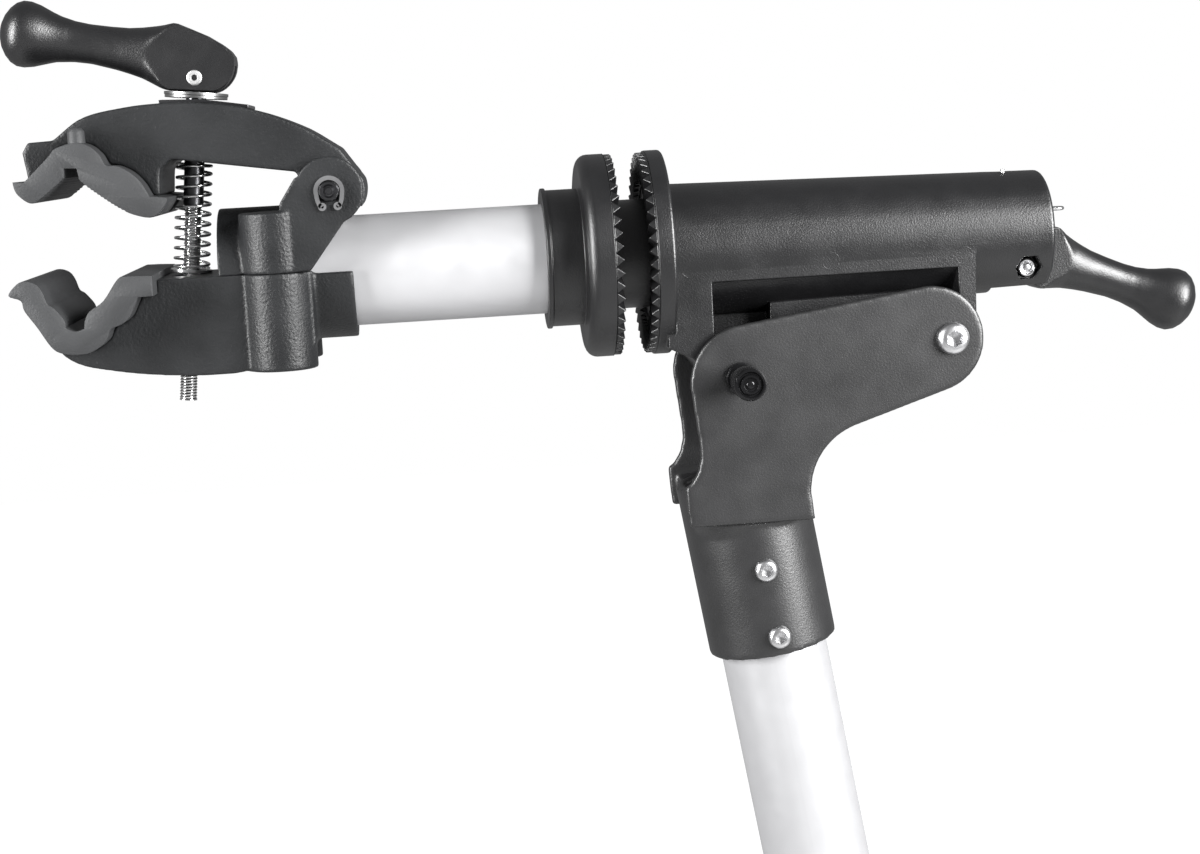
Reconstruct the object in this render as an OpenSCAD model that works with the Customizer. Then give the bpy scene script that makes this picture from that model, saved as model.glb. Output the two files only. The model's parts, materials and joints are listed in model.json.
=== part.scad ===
/* [Stand] */
// Height of the clamp arm's axis above the floor
arm_height = 1000; // [990:5:1060]
// Angle of the mast from upright
mast_lean = 8.8; // [8:0.1:9.6]
// Outside diameter of the upper mast and of the arm tube
tube_d = 38; // [37:0.5:39]
// Wall of the upper mast and of the arm tube
tube_wall = 2; // [1.5:0.1:2.6]
// Length of the upper mast tube
mast_upper_len = 600; // [560:5:640]
// Distance from the arm's axis down to the top of the lower mast
lower_mast_drop = 250; // [240:1:262]
// Outside diameter of the lower mast
lower_mast_d = 44; // [43:0.5:46]
// Wall of the lower mast
lower_mast_wall = 2; // [1.6:0.1:2.2]

/* [Arm] */
// Distance from the toothed gap forward to the clamp's hinge pin
clevis_ahead = 91.2; // [88:0.2:94]
// Height of the clamp's hinge pin over the arm's axis
clevis_rise = 28.3; // [27.6:0.1:29]
// Distance from the toothed gap back to the mast's axis
mast_behind = 32.7; // [31.5:0.1:34]
// Radius of the toothed discs
disc_r = 35.2; // [34:0.1:36.5]
// Height of the teeth at the rim
tooth_h = 3; // [2.4:0.1:3.4]
// Number of teeth on each disc
tooth_n = 48; // [40:4:52]
// Distance between the two discs' tooth tips when drawn apart
disc_gap = 8.3; // [7:0.1:9]
// Thickness of the front disc without its teeth
front_disc_t = 9.4; // [8.6:0.1:10]
// Thickness of the rear disc without its teeth
rear_disc_t = 6; // [5:0.1:6.6]
// Outside radius of the sleeve behind the arm tube
sleeve_r = 23.7; // [22.6:0.1:24.6]
// Length of the sleeve in front of the front disc
sleeve_len = 12.8; // [11:0.1:14]
// Outside radius of the barrel at the rear disc
barrel_r = 23.5; // [23.2:0.1:24.2]
// Outside radius of the barrel at its end
barrel_end_r = 21; // [20.8:0.1:21.6]
// Distance from the toothed gap back to the barrel's end
barrel_back = 156.7; // [153:0.1:160]

/* [Clamp] */
// Distance from the hinge pin to the nose of the upper jaw
jaw_reach = 100; // [98:0.2:102]
// Width of the jaws
jaw_w = 48; // [46:0.5:50]
// Width of the rubber pads
pad_w = 72; // [68:0.5:78]
// Thickness of a clevis ear
ear_t = 5; // [4:0.1:5.6]
// Radius of a clevis ear round the pin
ear_r = 11.3; // [10.8:0.1:11.8]
// Radius of the hinge pin
clevis_pin_r = 3.3; // [2.8:0.1:3.8]
// Radius of the clamp rod
rod_r = 3; // [2.8:0.1:3.2]
// Angle of the clamp rod from upright
rod_lean = 6; // [5:0.1:6.6]
// Outside radius of the jaw spring
spring_r = 6.3; // [6:0.1:6.6]
// Radius of the spring wire
spring_wire_r = 0.5; // [0.45:0.01:0.6]
// Number of turns of the jaw spring
spring_turns = 10; // [8:1:11]
// Distance from the lever's pin to the flat of its cam
cam_low = 4.6; // [4.4:0.1:5]
// Lift of the cam for each radian of turn
cam_rate = 5.47; // [5.2:0.01:5.8]
// Radius of the bulb on a lever's handle
bulb_r = 11.2; // [10.4:0.1:11.6]
// Radius of the neck of a lever's handle
neck_r = 6.9; // [6.4:0.1:7.4]
// Distance from a lever's pin to the middle of its bulb
lever_len = 57.6; // [56:0.1:60]
// Width of a lever's hub
hub_w = 17; // [16:0.1:18]

/* [Bracket] */
// Outside radius of the mast socket
socket_r = 22.85; // [22.4:0.05:23.3]
// Distance from the arm's axis down to the top of the socket
socket_top = 81; // [80:0.2:83]
// Distance from the arm's axis down to the bottom of the socket
socket_end = 143.7; // [141:0.1:147]
// Distance between the bracket's two plates
plate_gap = 45.8; // [45.6:0.1:46.2]
// Thickness of a bracket plate
plate_t = 3.1; // [2.6:0.1:3.6]
// Distance from the toothed gap back to the head's pivot bolt
pivot_back = 117.8; // [116:0.1:119]
// Distance from the arm's axis down to the head's pivot bolt
pivot_drop = 34.2; // [33.6:0.1:34.8]
// Radius of the head's pivot bolt
pivot_r = 4; // [3.6:0.1:4.4]
// Distance from the toothed gap back to the lock pin
lock_back = 43.7; // [42.6:0.1:44.8]
// Distance from the arm's axis down to the lock pin
lock_drop = 43.2; // [42.4:0.1:44]

/* [Legs] */
// Distance from the foot up the mast to the braces' lower hinges
brace_rise = 116; // [105:1:130]
// Angle between a leg and the mast when the stand is open
leg_open = 55; // [53:0.5:57]
// Angle of each leg to the side of the stand's middle
leg_splay = 35; // [33:0.5:38]
// Distance from a leg's hinge to its brace, and length of the brace
brace_len = 280; // [262:1:286]
// Outside diameter of a leg tube
leg_d = 28; // [26:0.5:29]
// Wall of a leg tube
leg_wall = 2; // [1.6:0.1:2.4]
// Distance from the mast's axis to the leg and brace hinges
hinge_out = 44; // [43:0.5:46]
// Thickness of a brace bar
brace_t = 3; // [2.5:0.1:3.5]
// Width of a brace bar
brace_w = 18; // [16:0.5:20]

/* [Hidden] */
$fn = 64;

// Clearances: running fits, pieces of one body that seat in each other, and pieces that pass
run_gap = 0.05;
seat_gap = 0.05;
slide_gap = 0.3;
// How far a cut runs past the face that it opens
over = 1;

tube_r = tube_d / 2;
lower_mast_r = lower_mast_d / 2;
cross_x = -arm_height * tan(mast_lean);
mast_len = arm_height / cos(mast_lean);

// Points of an arc, from angle a0 to a1, in n steps
function arc(cx, cy, r, a0, a1, n) =
    [for (i = [0:n]) [cx + r * cos(a0 + (a1 - a0) * i / n), cy + r * sin(a0 + (a1 - a0) * i / n)]];
function times(points, size) = [for (p = points) p * size];
function shifted(points, step) = [for (p = points) p + step];

// An outline in the XZ plane, made as thick as w about the middle plane
module slab(w, points) {
    rotate([90, 0, 0]) translate([0, 0, -w / 2]) linear_extrude(w) polygon(points);
}
module bar_x(r, x0, x1) { translate([x0, 0, 0]) rotate([0, 90, 0]) cylinder(r = r, h = x1 - x0); }
module bar_y(r, y0, y1) { translate([0, y0, 0]) rotate([-90, 0, 0]) cylinder(r = r, h = y1 - y0); }
module pipe(r_out, r_in, z0, z1) {
    difference() {
        translate([0, 0, z0]) cylinder(r = r_out, h = z1 - z0);
        translate([0, 0, z0 - over]) cylinder(r = r_in, h = z1 - z0 + 2 * over);
    }
}
module block(x0, x1, y0, y1, z0, z1) { translate([x0, y0, z0]) cube([x1 - x0, y1 - y0, z1 - z0]); }

// Frames: on_mast has its origin on the mast's axis, s below the arm's axis; on_arm on the arm's
// axis at the toothed gap; on_clevis at the clamp's hinge pin; on_rod at the clamp lever's pin
module on_mast(s = 0) {
    translate([cross_x, 0, arm_height]) rotate([0, -mast_lean, 0]) translate([0, 0, -s]) children();
}
module on_arm() { translate([cross_x - mast_behind, 0, arm_height]) children(); }
module on_clevis() { on_arm() translate([-clevis_ahead, 0, clevis_rise]) children(); }
module on_rod_here() { translate([lever_x, 0, lever_z]) rotate([0, rod_lean, 0]) children(); }
module on_rod() { on_clevis() on_rod_here() children(); }
module on_pivot() { on_arm() translate([pivot_back, 0, -pivot_drop]) children(); }

// Lower mast and its foot
foot_wall = 4;
foot_h = 46;
foot_gap = 7;
bush_h = 40;
module above_floor() {
    intersection() {
        children();
        block(-arm_height, arm_height, -arm_height, arm_height, 0, 2 * arm_height);
    }
}
module mast_lower() {
    color("silver") on_mast() pipe(lower_mast_r, lower_mast_r - lower_mast_wall,
        foot_gap - mast_len, -lower_mast_drop);
}
module mast_foot() {
    color("dimgray") above_floor() on_mast(mast_len) difference() {
        translate([0, 0, -foot_h / 2]) cylinder(r = lower_mast_r + foot_wall, h = foot_h * 1.5);
        translate([0, 0, foot_gap - seat_gap]) cylinder(r = lower_mast_r + seat_gap, h = 2 * foot_h);
    }
}

// Quick-release clamp on top of the lower mast: split collar, bolt and cam lever
collar_wall = 5;
height_collar_h = 44;
height_lip = 5;
clamp_ear_h = 20;
clamp_ear_reach = 19;
clamp_split = 3;
clamp_ear_t = 9;
clamp_bolt_r = 3;
clamp_bolt_head_r = 5.5;
clamp_bolt_head_h = 4;
quick_hub_r = 9;
quick_hub_w = 16;
quick_len = 56;
quick_t = 5;
height_bolt_out = lower_mast_r + collar_wall + clamp_ear_reach / 2;
height_bolt_s = lower_mast_drop + height_collar_h / 2 - height_lip;
clamp_half = clamp_split / 2 + clamp_ear_t;
module split_ears(s, ear_h) {
    on_mast(s) block(lower_mast_r, lower_mast_r + collar_wall + clamp_ear_reach, -clamp_half,
        clamp_half, -ear_h / 2, ear_h / 2);
}
module height_collar() {
    color("#1d1d1e") difference() {
        union() {
            on_mast(lower_mast_drop) pipe(lower_mast_r + collar_wall, tube_r + slide_gap,
                height_lip - height_collar_h, height_lip);
            split_ears(height_bolt_s, clamp_ear_h);
        }
        on_mast(lower_mast_drop) translate([0, 0, -2 * height_collar_h])
            cylinder(r = lower_mast_r + seat_gap, h = 2 * height_collar_h + seat_gap);
        on_mast(lower_mast_drop) block(0, 2 * height_bolt_out, -clamp_split / 2, clamp_split / 2,
            -2 * height_collar_h, 2 * height_lip);
        on_mast(height_bolt_s) translate([height_bolt_out, 0, 0])
            bar_y(clamp_bolt_r + seat_gap, -2 * clamp_half, 2 * clamp_half);
    }
}
module height_bolt() {
    color("silver") on_mast(height_bolt_s) translate([height_bolt_out, 0, 0]) {
        bar_y(clamp_bolt_r, -clamp_half - slide_gap - quick_hub_w, clamp_half + clamp_bolt_head_h);
        bar_y(clamp_bolt_head_r, clamp_half, clamp_half + clamp_bolt_head_h);
    }
}
quick_bend_shares = [[0, 0], [0.25, 0.06], [0.5, 0.2], [0.75, 0.27], [1, 0.25]];
module height_lever() {
    outer = [for (p = quick_bend_shares) [quick_hub_r - quick_t + p[1] * quick_len, -p[0] * quick_len]];
    inner = [for (i = [len(quick_bend_shares) - 1:-1:0]) outer[i] + [quick_t, 0]];
    color("#1d1d1e") on_mast(height_bolt_s)
        translate([height_bolt_out, -clamp_half - slide_gap - quick_hub_w / 2, 0]) difference() {
        union() {
            bar_y(quick_hub_r, -quick_hub_w / 2, quick_hub_w / 2);
            slab(quick_hub_w, concat(outer, inner));
        }
        bar_y(clamp_bolt_r + run_gap, -quick_hub_w, quick_hub_w);
    }
}

// Legs, braces and the collar that they fold with. The legs hang from the sliding collar, and the
// braces, as long as the stretch from a leg's hinge to its brace, hold them to the fixed bracket
leg_r = leg_d / 2;
ear_plate_t = 4;
hinge_ear_r = 12;
hinge_bolt_r = 4;
hinge_head_r = 7;
hinge_head_h = 4;
leg_collar_h = 62;
bracket_h = 40;
ear_half = leg_r + slide_gap;
brace_half = leg_r + slide_gap;
brace_drop = mast_len - brace_rise;
leg_drop = brace_drop - 2 * brace_len * cos(leg_open);
shoe_wall = 3.5;
shoe_h = 60;
spacer_share = 0.78;
knob_stem = 16;
knob_r = 15;
knob_h = 12;
knob_lobes = 6;
knob_stud_r = 4;
module side_frame(side, s) {
    on_mast(s) rotate([0, 0, 180 + side * leg_splay]) translate([hinge_out, 0, 0]) children();
}
// Height of a leg's hinge over the floor, and the leg's length down to the floor along its axis
function hinge_height(s) = arm_height - s * cos(mast_lean)
    - hinge_out * cos(leg_splay) * sin(mast_lean);
leg_fall = cos(leg_open) * cos(mast_lean) + sin(leg_open) * cos(leg_splay) * sin(mast_lean);
leg_len = hinge_height(leg_drop) / leg_fall;
// The tube ends where its lowest corner is a shoe's wall over the floor
shoe_gap = (shoe_wall + leg_r * sin(acos(leg_fall))) / leg_fall;
module hinge_ears(side, s, half, z_len) {
    on_mast(s) rotate([0, 0, 180 + side * leg_splay]) for (y = [-half - ear_plate_t, half]) {
        block(lower_mast_r / 2, hinge_out, y, y + ear_plate_t, -z_len / 2, z_len / 2);
        translate([hinge_out, 0, 0]) bar_y(z_len / 2, y, y + ear_plate_t);
    }
}
module leg_collar() {
    color("#1d1d1e") difference() {
        union() {
            on_mast(leg_drop) pipe(lower_mast_r + slide_gap + collar_wall, lower_mast_r + slide_gap,
                -leg_collar_h / 2, leg_collar_h / 2);
            for (side = [-1, 1]) hinge_ears(side, leg_drop, ear_half, 2 * hinge_ear_r);
            on_mast(leg_drop) bar_x(knob_stud_r + collar_wall, lower_mast_r + collar_wall / 2,
                lower_mast_r + collar_wall + knob_stud_r);
        }
        on_mast(leg_drop) translate([0, 0, -leg_collar_h])
            cylinder(r = lower_mast_r + slide_gap, h = 2 * leg_collar_h);
        for (side = [-1, 1]) side_frame(side, leg_drop)
            bar_y(hinge_bolt_r + seat_gap, -2 * ear_half, 2 * ear_half);
        on_mast(leg_drop) bar_x(knob_stud_r + run_gap, lower_mast_r / 2, 2 * lower_mast_r);
    }
}
module hinge_bolt(half) {
    bar_y(hinge_bolt_r, -half - hinge_head_h, half + hinge_head_h);
    bar_y(hinge_head_r, -half - hinge_head_h, -half - run_gap);
    bar_y(hinge_head_r, half + run_gap, half + hinge_head_h);
}
module leg_collar_bolts() {
    color("silver") for (side = [-1, 1]) side_frame(side, leg_drop) hinge_bolt(ear_half + ear_plate_t);
}
module leg_collar_knob() {
    stud_out = lower_mast_r + collar_wall + knob_stem;
    color("#1d1d1e") on_mast(leg_drop) {
        bar_x(knob_stud_r, lower_mast_r + slide_gap, stud_out + over);
        difference() {
            bar_x(knob_r, stud_out, stud_out + knob_h);
            for (i = [0:knob_lobes - 1]) rotate([i * 360 / knob_lobes, 0, 0])
                translate([0, knob_r * 1.2, 0]) bar_x(knob_r / 2, stud_out - over, stud_out + knob_h + over);
        }
    }
}
bracket_lug_w = 2 * brace_half - 2 * slide_gap;
module brace_bracket() {
    color("#1d1d1e") difference() {
        union() {
            on_mast(brace_drop) pipe(lower_mast_r + seat_gap + collar_wall, lower_mast_r + seat_gap,
                -bracket_h / 2, bracket_h / 2);
            for (side = [-1, 1]) on_mast(brace_drop) rotate([0, 0, 180 + side * leg_splay]) {
                block(lower_mast_r / 2, hinge_out, -bracket_lug_w / 2,
                    bracket_lug_w / 2, -brace_w / 2, brace_w / 2);
                translate([hinge_out, 0, 0]) bar_y(brace_w / 2, -bracket_lug_w / 2, bracket_lug_w / 2);
            }
        }
        on_mast(brace_drop) translate([0, 0, -bracket_h])
            cylinder(r = lower_mast_r + seat_gap, h = 2 * bracket_h);
        for (side = [-1, 1]) side_frame(side, brace_drop)
            bar_y(hinge_bolt_r + seat_gap, -2 * ear_half, 2 * ear_half);
    }
}
module brace_bolts() {
    color("silver") for (side = [-1, 1]) side_frame(side, brace_drop) hinge_bolt(brace_half + brace_t);
}
module on_leg(side) { side_frame(side, leg_drop) rotate([0, -leg_open, 0]) children(); }
module leg(side) {
    color("silver") on_leg(side) difference() {
        union() {
            pipe(leg_r, leg_r - leg_wall, shoe_gap - leg_len, 0);
            bar_y(leg_r, -leg_r, leg_r);
        }
        bar_y(hinge_bolt_r + run_gap, -leg_d, leg_d);
        translate([0, 0, -brace_len]) bar_y(hinge_bolt_r + seat_gap, -leg_d, leg_d);
    }
}
module leg_shoe(side) {
    color("dimgray") above_floor() on_leg(side) difference() {
        translate([0, 0, -leg_len - leg_d]) cylinder(r = leg_r + shoe_wall, h = leg_d + shoe_h);
        translate([0, 0, shoe_gap - seat_gap - leg_len]) cylinder(r = leg_r + seat_gap, h = 2 * shoe_h);
    }
}
module leg_bolt(side) {
    color("silver") on_leg(side) translate([0, 0, -brace_len]) hinge_bolt(brace_half + brace_t);
}
module brace(side) {
    color("silver") side_frame(side, brace_drop) rotate([0, leg_open, 0]) difference() {
        union() {
            for (y = [-brace_half - brace_t, brace_half]) {
                block(-brace_w / 2, brace_w / 2, y, y + brace_t, 0, brace_len);
                bar_y(brace_w / 2, y, y + brace_t);
                translate([0, 0, brace_len]) bar_y(brace_w / 2, y, y + brace_t);
            }
            translate([0, 0, brace_len * (1 - spacer_share)])
                bar_y(hinge_bolt_r, -brace_half - brace_t / 2, brace_half + brace_t / 2);
        }
        for (z = [0, brace_len]) translate([0, 0, z])
            bar_y(hinge_bolt_r + run_gap, -2 * brace_half, 2 * brace_half);
    }
}

// Upper mast tube, sliding in the lower mast on a plastic bush
// How far the socket reaches over the tube's end
socket_hood = 12;
mast_tube_top = socket_top + socket_hood;
module mast_upper() {
    color("silver") difference() {
        on_mast(mast_tube_top + mast_upper_len) pipe(tube_r, tube_r - tube_wall, 0, mast_upper_len);
        for (s = screw_drops) on_mast(s) bar_y(screw_r + seat_gap, -tube_d, 0);
    }
}
module mast_end_bush() {
    color("#1d1d1e") on_mast(mast_tube_top + mast_upper_len)
        pipe(lower_mast_r - lower_mast_wall - run_gap, tube_r + seat_gap, 0, bush_h);
}

// Fork bracket: the mast's socket, with two plates that rise from it and carry the arm's housing
plate_in = plate_gap / 2;
plate_out = plate_in + plate_t;
plate_nose_r = 18.4;
plate_nose_in = 7.3;
plate_lock_r = 20;
plate_lock_out = 2.8;
plate_lock_low = 1.8;
plate_throat_r = 23.6;
plate_throat_x = 90.2;
plate_throat_z = -84.6;
plate_slope = 20.3;
plate_top_slope = 7;
throat_half = 19;
screw_r = 2.5;
screw_head_r = 4;
screw_head_h = 2.3;
screw_drop_shares = [0.504, 0.892];
screw_drops = [for (share = screw_drop_shares) socket_top + share * (socket_end - socket_top)];
root_low = 20;
// The wavy front edge of a plate, from the socket up: shares of the lock pin's distance from the
// toothed gap, and of the height from the socket's top to the lock's corner
front_edge_shares = [[0.522, 0.1], [0.577, 0.14], [0.632, 0.24], [0.661, 0.37], [0.654, 0.51], [0.625, 0.79]];
plate_low_z = -socket_top - plate_t;
plate_corner_z = -lock_drop - plate_lock_low;
front_edge = [for (p = front_edge_shares)
    [p[0] * lock_back, plate_low_z + p[1] * (plate_corner_z - plate_low_z)]];
plate_outline = concat(
    [[front_edge[0][0] + over, plate_low_z - root_low / 2]], front_edge,
    arc(lock_back + plate_lock_out, plate_corner_z, plate_lock_r, 190, 90 + plate_top_slope, 12),
    arc(pivot_back - plate_nose_in, -pivot_drop, plate_nose_r, 90 + plate_top_slope,
        plate_slope - 90, 20),
    arc(plate_throat_x, plate_throat_z, plate_throat_r, 90 + plate_slope, 180, 10),
    [[plate_throat_x - plate_throat_r + over, plate_low_z - root_low / 2]]
);
module fork_bracket() {
    color("#222223") difference() {
        union() {
            on_mast(socket_end) cylinder(r = socket_r, h = socket_end - socket_top);
            for (side = [-1, 1]) {
                on_arm() translate([0, side * (plate_in + plate_t / 2), 0])
                    slab(plate_t, plate_outline);
                hull() {
                    on_mast(socket_top + plate_t)
                        translate([-throat_half, side * (plate_in + plate_t / 2) - plate_t / 2, 0])
                            cube([2 * throat_half, plate_t, plate_t]);
                    on_mast(socket_top + root_low)
                        cylinder(r = socket_r - plate_t / 2, h = plate_t, $fn = 32);
                }
            }
        }
        on_mast(socket_end + over) cylinder(r = tube_r + seat_gap, h = socket_end);
        on_arm() bar_cross(pivot_back, -pivot_drop, pivot_r + run_gap, plate_out + over);
        on_arm() translate([lock_back, 0, -lock_drop]) bar_y(lock_thread_r + seat_gap, -plate_out - over, 0);
        for (s = screw_drops) on_mast(s) bar_y(screw_r + seat_gap, -2 * tube_r, 0);
    }
}
module bar_cross(x, z, r, half) { translate([x, 0, z]) bar_y(r, -half, half); }
rim_share = 0.55;
dome_share = 0.72;
hex_share = 0.5;
hex_deep_share = 0.7;
module button_screw(r, head_r, head_h, shank) {
    difference() {
        union() {
            bar_y(r, 0, shank);
            bar_y(head_r, -head_h * rim_share, 0);
            translate([0, -head_h * rim_share, 0]) rotate([90, 0, 0])
                cylinder(r1 = head_r, r2 = head_r * dome_share, h = head_h * (1 - rim_share));
        }
        translate([0, -head_h - over, 0]) rotate([-90, 0, 0])
            cylinder(r = head_r * hex_share, h = over + head_h * hex_deep_share, $fn = 6);
    }
}
module socket_screws() {
    color("silver") for (s = screw_drops) on_mast(s) translate([0, -socket_r, 0])
        button_screw(screw_r, screw_head_r, screw_head_h, socket_r - tube_r + 2 * tube_wall);
}

// Head pivot bolt, and the pull pin that locks the head
pivot_head_r = 5.6;
pivot_head_h = 3.3;
pivot_nut_r = 7;
pivot_nut_h = 5;
lock_thread_r = 4.2;
lock_pin_r = 2.8;
lock_sleeve_h = 8.4;
lock_nut_r = 6;
lock_nut_h = 2.6;
lock_knob_r = 5.6;
lock_knob_h = 11;
lock_draw = 8;
lock_tip_in = 2;
module head_pivot_bolt() {
    color("silver") on_pivot() {
        translate([0, -plate_out, 0])
            button_screw(pivot_r, pivot_head_r, pivot_head_h, 2 * plate_out + pivot_nut_h);
        translate([0, plate_out, 0]) rotate([-90, 0, 0]) difference() {
            cylinder(r = pivot_nut_r, h = pivot_nut_h, $fn = 6);
            translate([0, 0, -over]) cylinder(r = pivot_r - seat_gap, h = pivot_nut_h + 2 * over);
        }
    }
}
module on_lock() { on_arm() translate([lock_back, 0, -lock_drop]) children(); }
module lock_pin_sleeve() {
    color("#1d1d1e") on_lock() difference() {
        union() {
            bar_y(lock_thread_r, -plate_out - lock_sleeve_h, -plate_in);
            translate([0, -plate_out, 0]) rotate([90, 0, 0]) cylinder(r = lock_nut_r, h = lock_nut_h, $fn = 6);
        }
        bar_y(lock_pin_r + run_gap, -plate_out - lock_sleeve_h - over, 0);
    }
}
module lock_pin() {
    knob_in = -plate_out - lock_nut_h - slide_gap - lock_draw;
    color("#161617") on_lock() {
        bar_y(lock_pin_r, knob_in - lock_knob_h + over, -plate_in - lock_tip_in / 2);
        difference() {
            bar_y(lock_knob_r, knob_in - lock_knob_h, knob_in);
            bar_y(lock_thread_r + slide_gap, knob_in - lock_draw, knob_in + over);
        }
    }
}

// Toothed coupling: two discs with radial teeth, straight ridges that point at the arm's axis
tip_x = 5.4;
disc_lip = 0.3;
tooth_in_r = 25;
tooth_base = 1.2;
rear_root_x = tip_x + disc_gap + tooth_h;
sleeve_lip = 0.7;
sleeve_lip_w = 1.6;
disc_fillet = 4;
rim_fillet = 1.2;
module turned(points) { rotate([0, 90, 0]) rotate_extrude() polygon(points); }
// Ring of teeth on the plane x = 0, pointing along +X
module tooth_ring(turn) {
    r_out = disc_r - disc_lip;
    step = 180 / tooth_n;
    function rim(r, i, x) = [x, r * cos(turn + i * step), r * sin(turn + i * step)];
    function crest(r, i) = tooth_h / 2 + (i % 2 == 0 ? 1 : -1) * tooth_h / 2 * r / r_out;
    n = 2 * tooth_n;
    points = concat(
        [for (i = [0:n - 1]) rim(tooth_in_r, i, -tooth_base)], [for (i = [0:n - 1]) rim(r_out, i, -tooth_base)],
        [for (i = [0:n - 1]) rim(tooth_in_r, i, crest(tooth_in_r, i))],
        [for (i = [0:n - 1]) rim(r_out, i, crest(r_out, i))]
    );
    faces = [for (i = [0:n - 1]) let (j = (i + 1) % n) each [
        [i, n + i, n + j], [i, n + j, j],
        [2 * n + i, 3 * n + j, 3 * n + i], [2 * n + i, 2 * n + j, 3 * n + j],
        [i, j, 2 * n + j], [i, 2 * n + j, 2 * n + i],
        [n + i, 3 * n + i, 3 * n + j], [n + i, 3 * n + j, n + j]
    ]];
    polyhedron(points, faces);
}
front_root_x = tip_x - tooth_h;
front_face_x = front_root_x - front_disc_t;
module arm_ratchet() {
    sleeve_x = front_face_x - sleeve_len;
    bore = tube_r + seat_gap;
    color("#262627") on_arm() {
        turned(concat(
            [[bore, sleeve_x], [sleeve_r + sleeve_lip, sleeve_x], [sleeve_r + sleeve_lip, sleeve_x + sleeve_lip_w],
                [sleeve_r, sleeve_x + sleeve_lip_w], [sleeve_r, front_face_x]],
            arc(disc_r - disc_fillet, front_face_x + disc_fillet, disc_fillet, -90, 0, 6),
            [[disc_r, front_root_x], [bore, front_root_x]]
        ));
        translate([front_root_x, 0, 0]) tooth_ring(0);
    }
}

// Arm housing: the rear disc, the tapered barrel and the web that hangs between the bracket's plates
spindle_r = 18.9;
housing_bore = spindle_r + run_gap;
rear_bore = 15;
rear_bore_x = 131;
barrel_x = rear_root_x + rear_disc_t;
barrel_round = 1.6;
web_half = 22.5;
web_end_half = 20.7;
web_front = 20;
web_back = 127.8;
web_wall = 2;
web_core = 13;
web_chin = 36.1;
web_cheek = 28.2;
web_disc_drop = 32;
pocket_front = 35.9;
pocket_back = 121.9;
pocket_top = 10.3;
pivot_lug_r = 10;
lock_lug_r = 10.5;
core_front = 57;
core_back = 109.5;
core_top = 14;
pocket_lug_back = 104;
pocket_lug_low = 24;
rear_pin_x = 147.8;
rear_pin_drop = 12.2;
rear_pin_r = 3.1;
rear_pocket_r = 4.7;
rear_pocket_depth = 2.6;
rear_pin_half = 15;
slot_x = 136.5;
slot_half = hub_w / 2 + 2 * slide_gap;
slot_top = 4;
wire_x = 143.5;
wire_r = 0.7;
web_outline = [
    [web_front, 0], [web_front, -web_disc_drop], [web_cheek, -web_chin],
    [lock_back - lock_lug_r, -lock_drop], [lock_back, -lock_drop - lock_lug_r],
    [pivot_back, -pivot_drop - pivot_lug_r], [web_back, -pivot_drop], [web_back, 0]
];
pocket_outline = [
    [pocket_front, -pocket_top], [pocket_back, -pocket_top], [pocket_back, -pocket_lug_low + over],
    [pivot_back - pivot_lug_r, -pocket_lug_low], [pocket_lug_back, -pivot_drop - web_wall],
    [core_front, -lock_drop - web_wall], [lock_back + lock_lug_r, -lock_drop + lock_lug_r / 2],
    [pocket_front, -lock_drop + lock_lug_r + web_wall]
];
module web() {
    difference() {
        intersection() {
            union() {
                slab(2 * web_half, web_outline);
                bar_cross(lock_back, -lock_drop, lock_lug_r, web_half);
                bar_cross(pivot_back, -pivot_drop, pivot_lug_r, web_half);
            }
            translate([0, 0, -2 * lock_drop]) linear_extrude(2 * lock_drop) polygon([
                [0, -web_half], [web_front, -web_half], [web_back, -web_end_half],
                [web_back, web_end_half], [web_front, web_half], [0, web_half]
            ]);
        }
        for (side = [-1, 1]) translate([0, side * (web_half + web_wall) / 2 + side * web_wall, 0])
            slab(web_half - web_wall, pocket_outline);
    }
    block(core_front, core_back, -web_core, web_core, -lock_drop, -core_top);
}
module arm_housing() {
    color("#242425") on_arm() {
        difference() {
            union() {
                turned(concat(
                    [[0, rear_root_x], [disc_r + disc_lip, rear_root_x]],
                    arc(disc_r + disc_lip - rim_fillet, barrel_x - rim_fillet, rim_fillet, 0, 90, 3),
                    [[barrel_r, barrel_x]],
                    arc(barrel_end_r - barrel_round, barrel_back - barrel_round, barrel_round, 0, 90, 4),
                    [[0, barrel_back]]
                ));
                web();
            }
            bar_x(housing_bore, 0, rear_bore_x);
            bar_x(rear_bore, rear_bore_x - over, barrel_back + over);
            block(slot_x, barrel_back + over, -slot_half, slot_half, -2 * barrel_r, -slot_top);
            bar_cross(pivot_back, -pivot_drop, pivot_r + run_gap, 2 * web_half);
            bar_cross(lock_back, -lock_drop, lock_pin_r + run_gap, 2 * web_half);
            bar_cross(rear_pin_x, -rear_pin_drop, rear_pin_r + seat_gap, rear_pin_half);
            for (side = [-1, 1]) translate([rear_pin_x, side * rear_pin_half, -rear_pin_drop])
                rotate([-90 * side, 0, 0]) translate([0, 0, -rear_pocket_depth])
                    cylinder(r = rear_pocket_r, h = barrel_r, $fn = 6);
            translate([wire_x, -wire_half, 0]) cylinder(r = wire_r + seat_gap, h = 2 * barrel_r);
        }
        translate([rear_root_x, 0, 0]) mirror([1, 0, 0]) difference() {
            tooth_ring(180 / tooth_n);
            bar_x(housing_bore, -2 * tooth_base, 2 * tooth_h);
        }
    }
}

// Rear lever: the same moulding as the clamp's lever, with a crank pin in the draw bar's slot
crank_r = 10;
crank_turn = 66.8;
crank_pin_r = 2.4;
rear_lever_turn = 27.1;
tongue_half = 3;
tongue_drop = 3;
tongue_h = 10;
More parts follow.
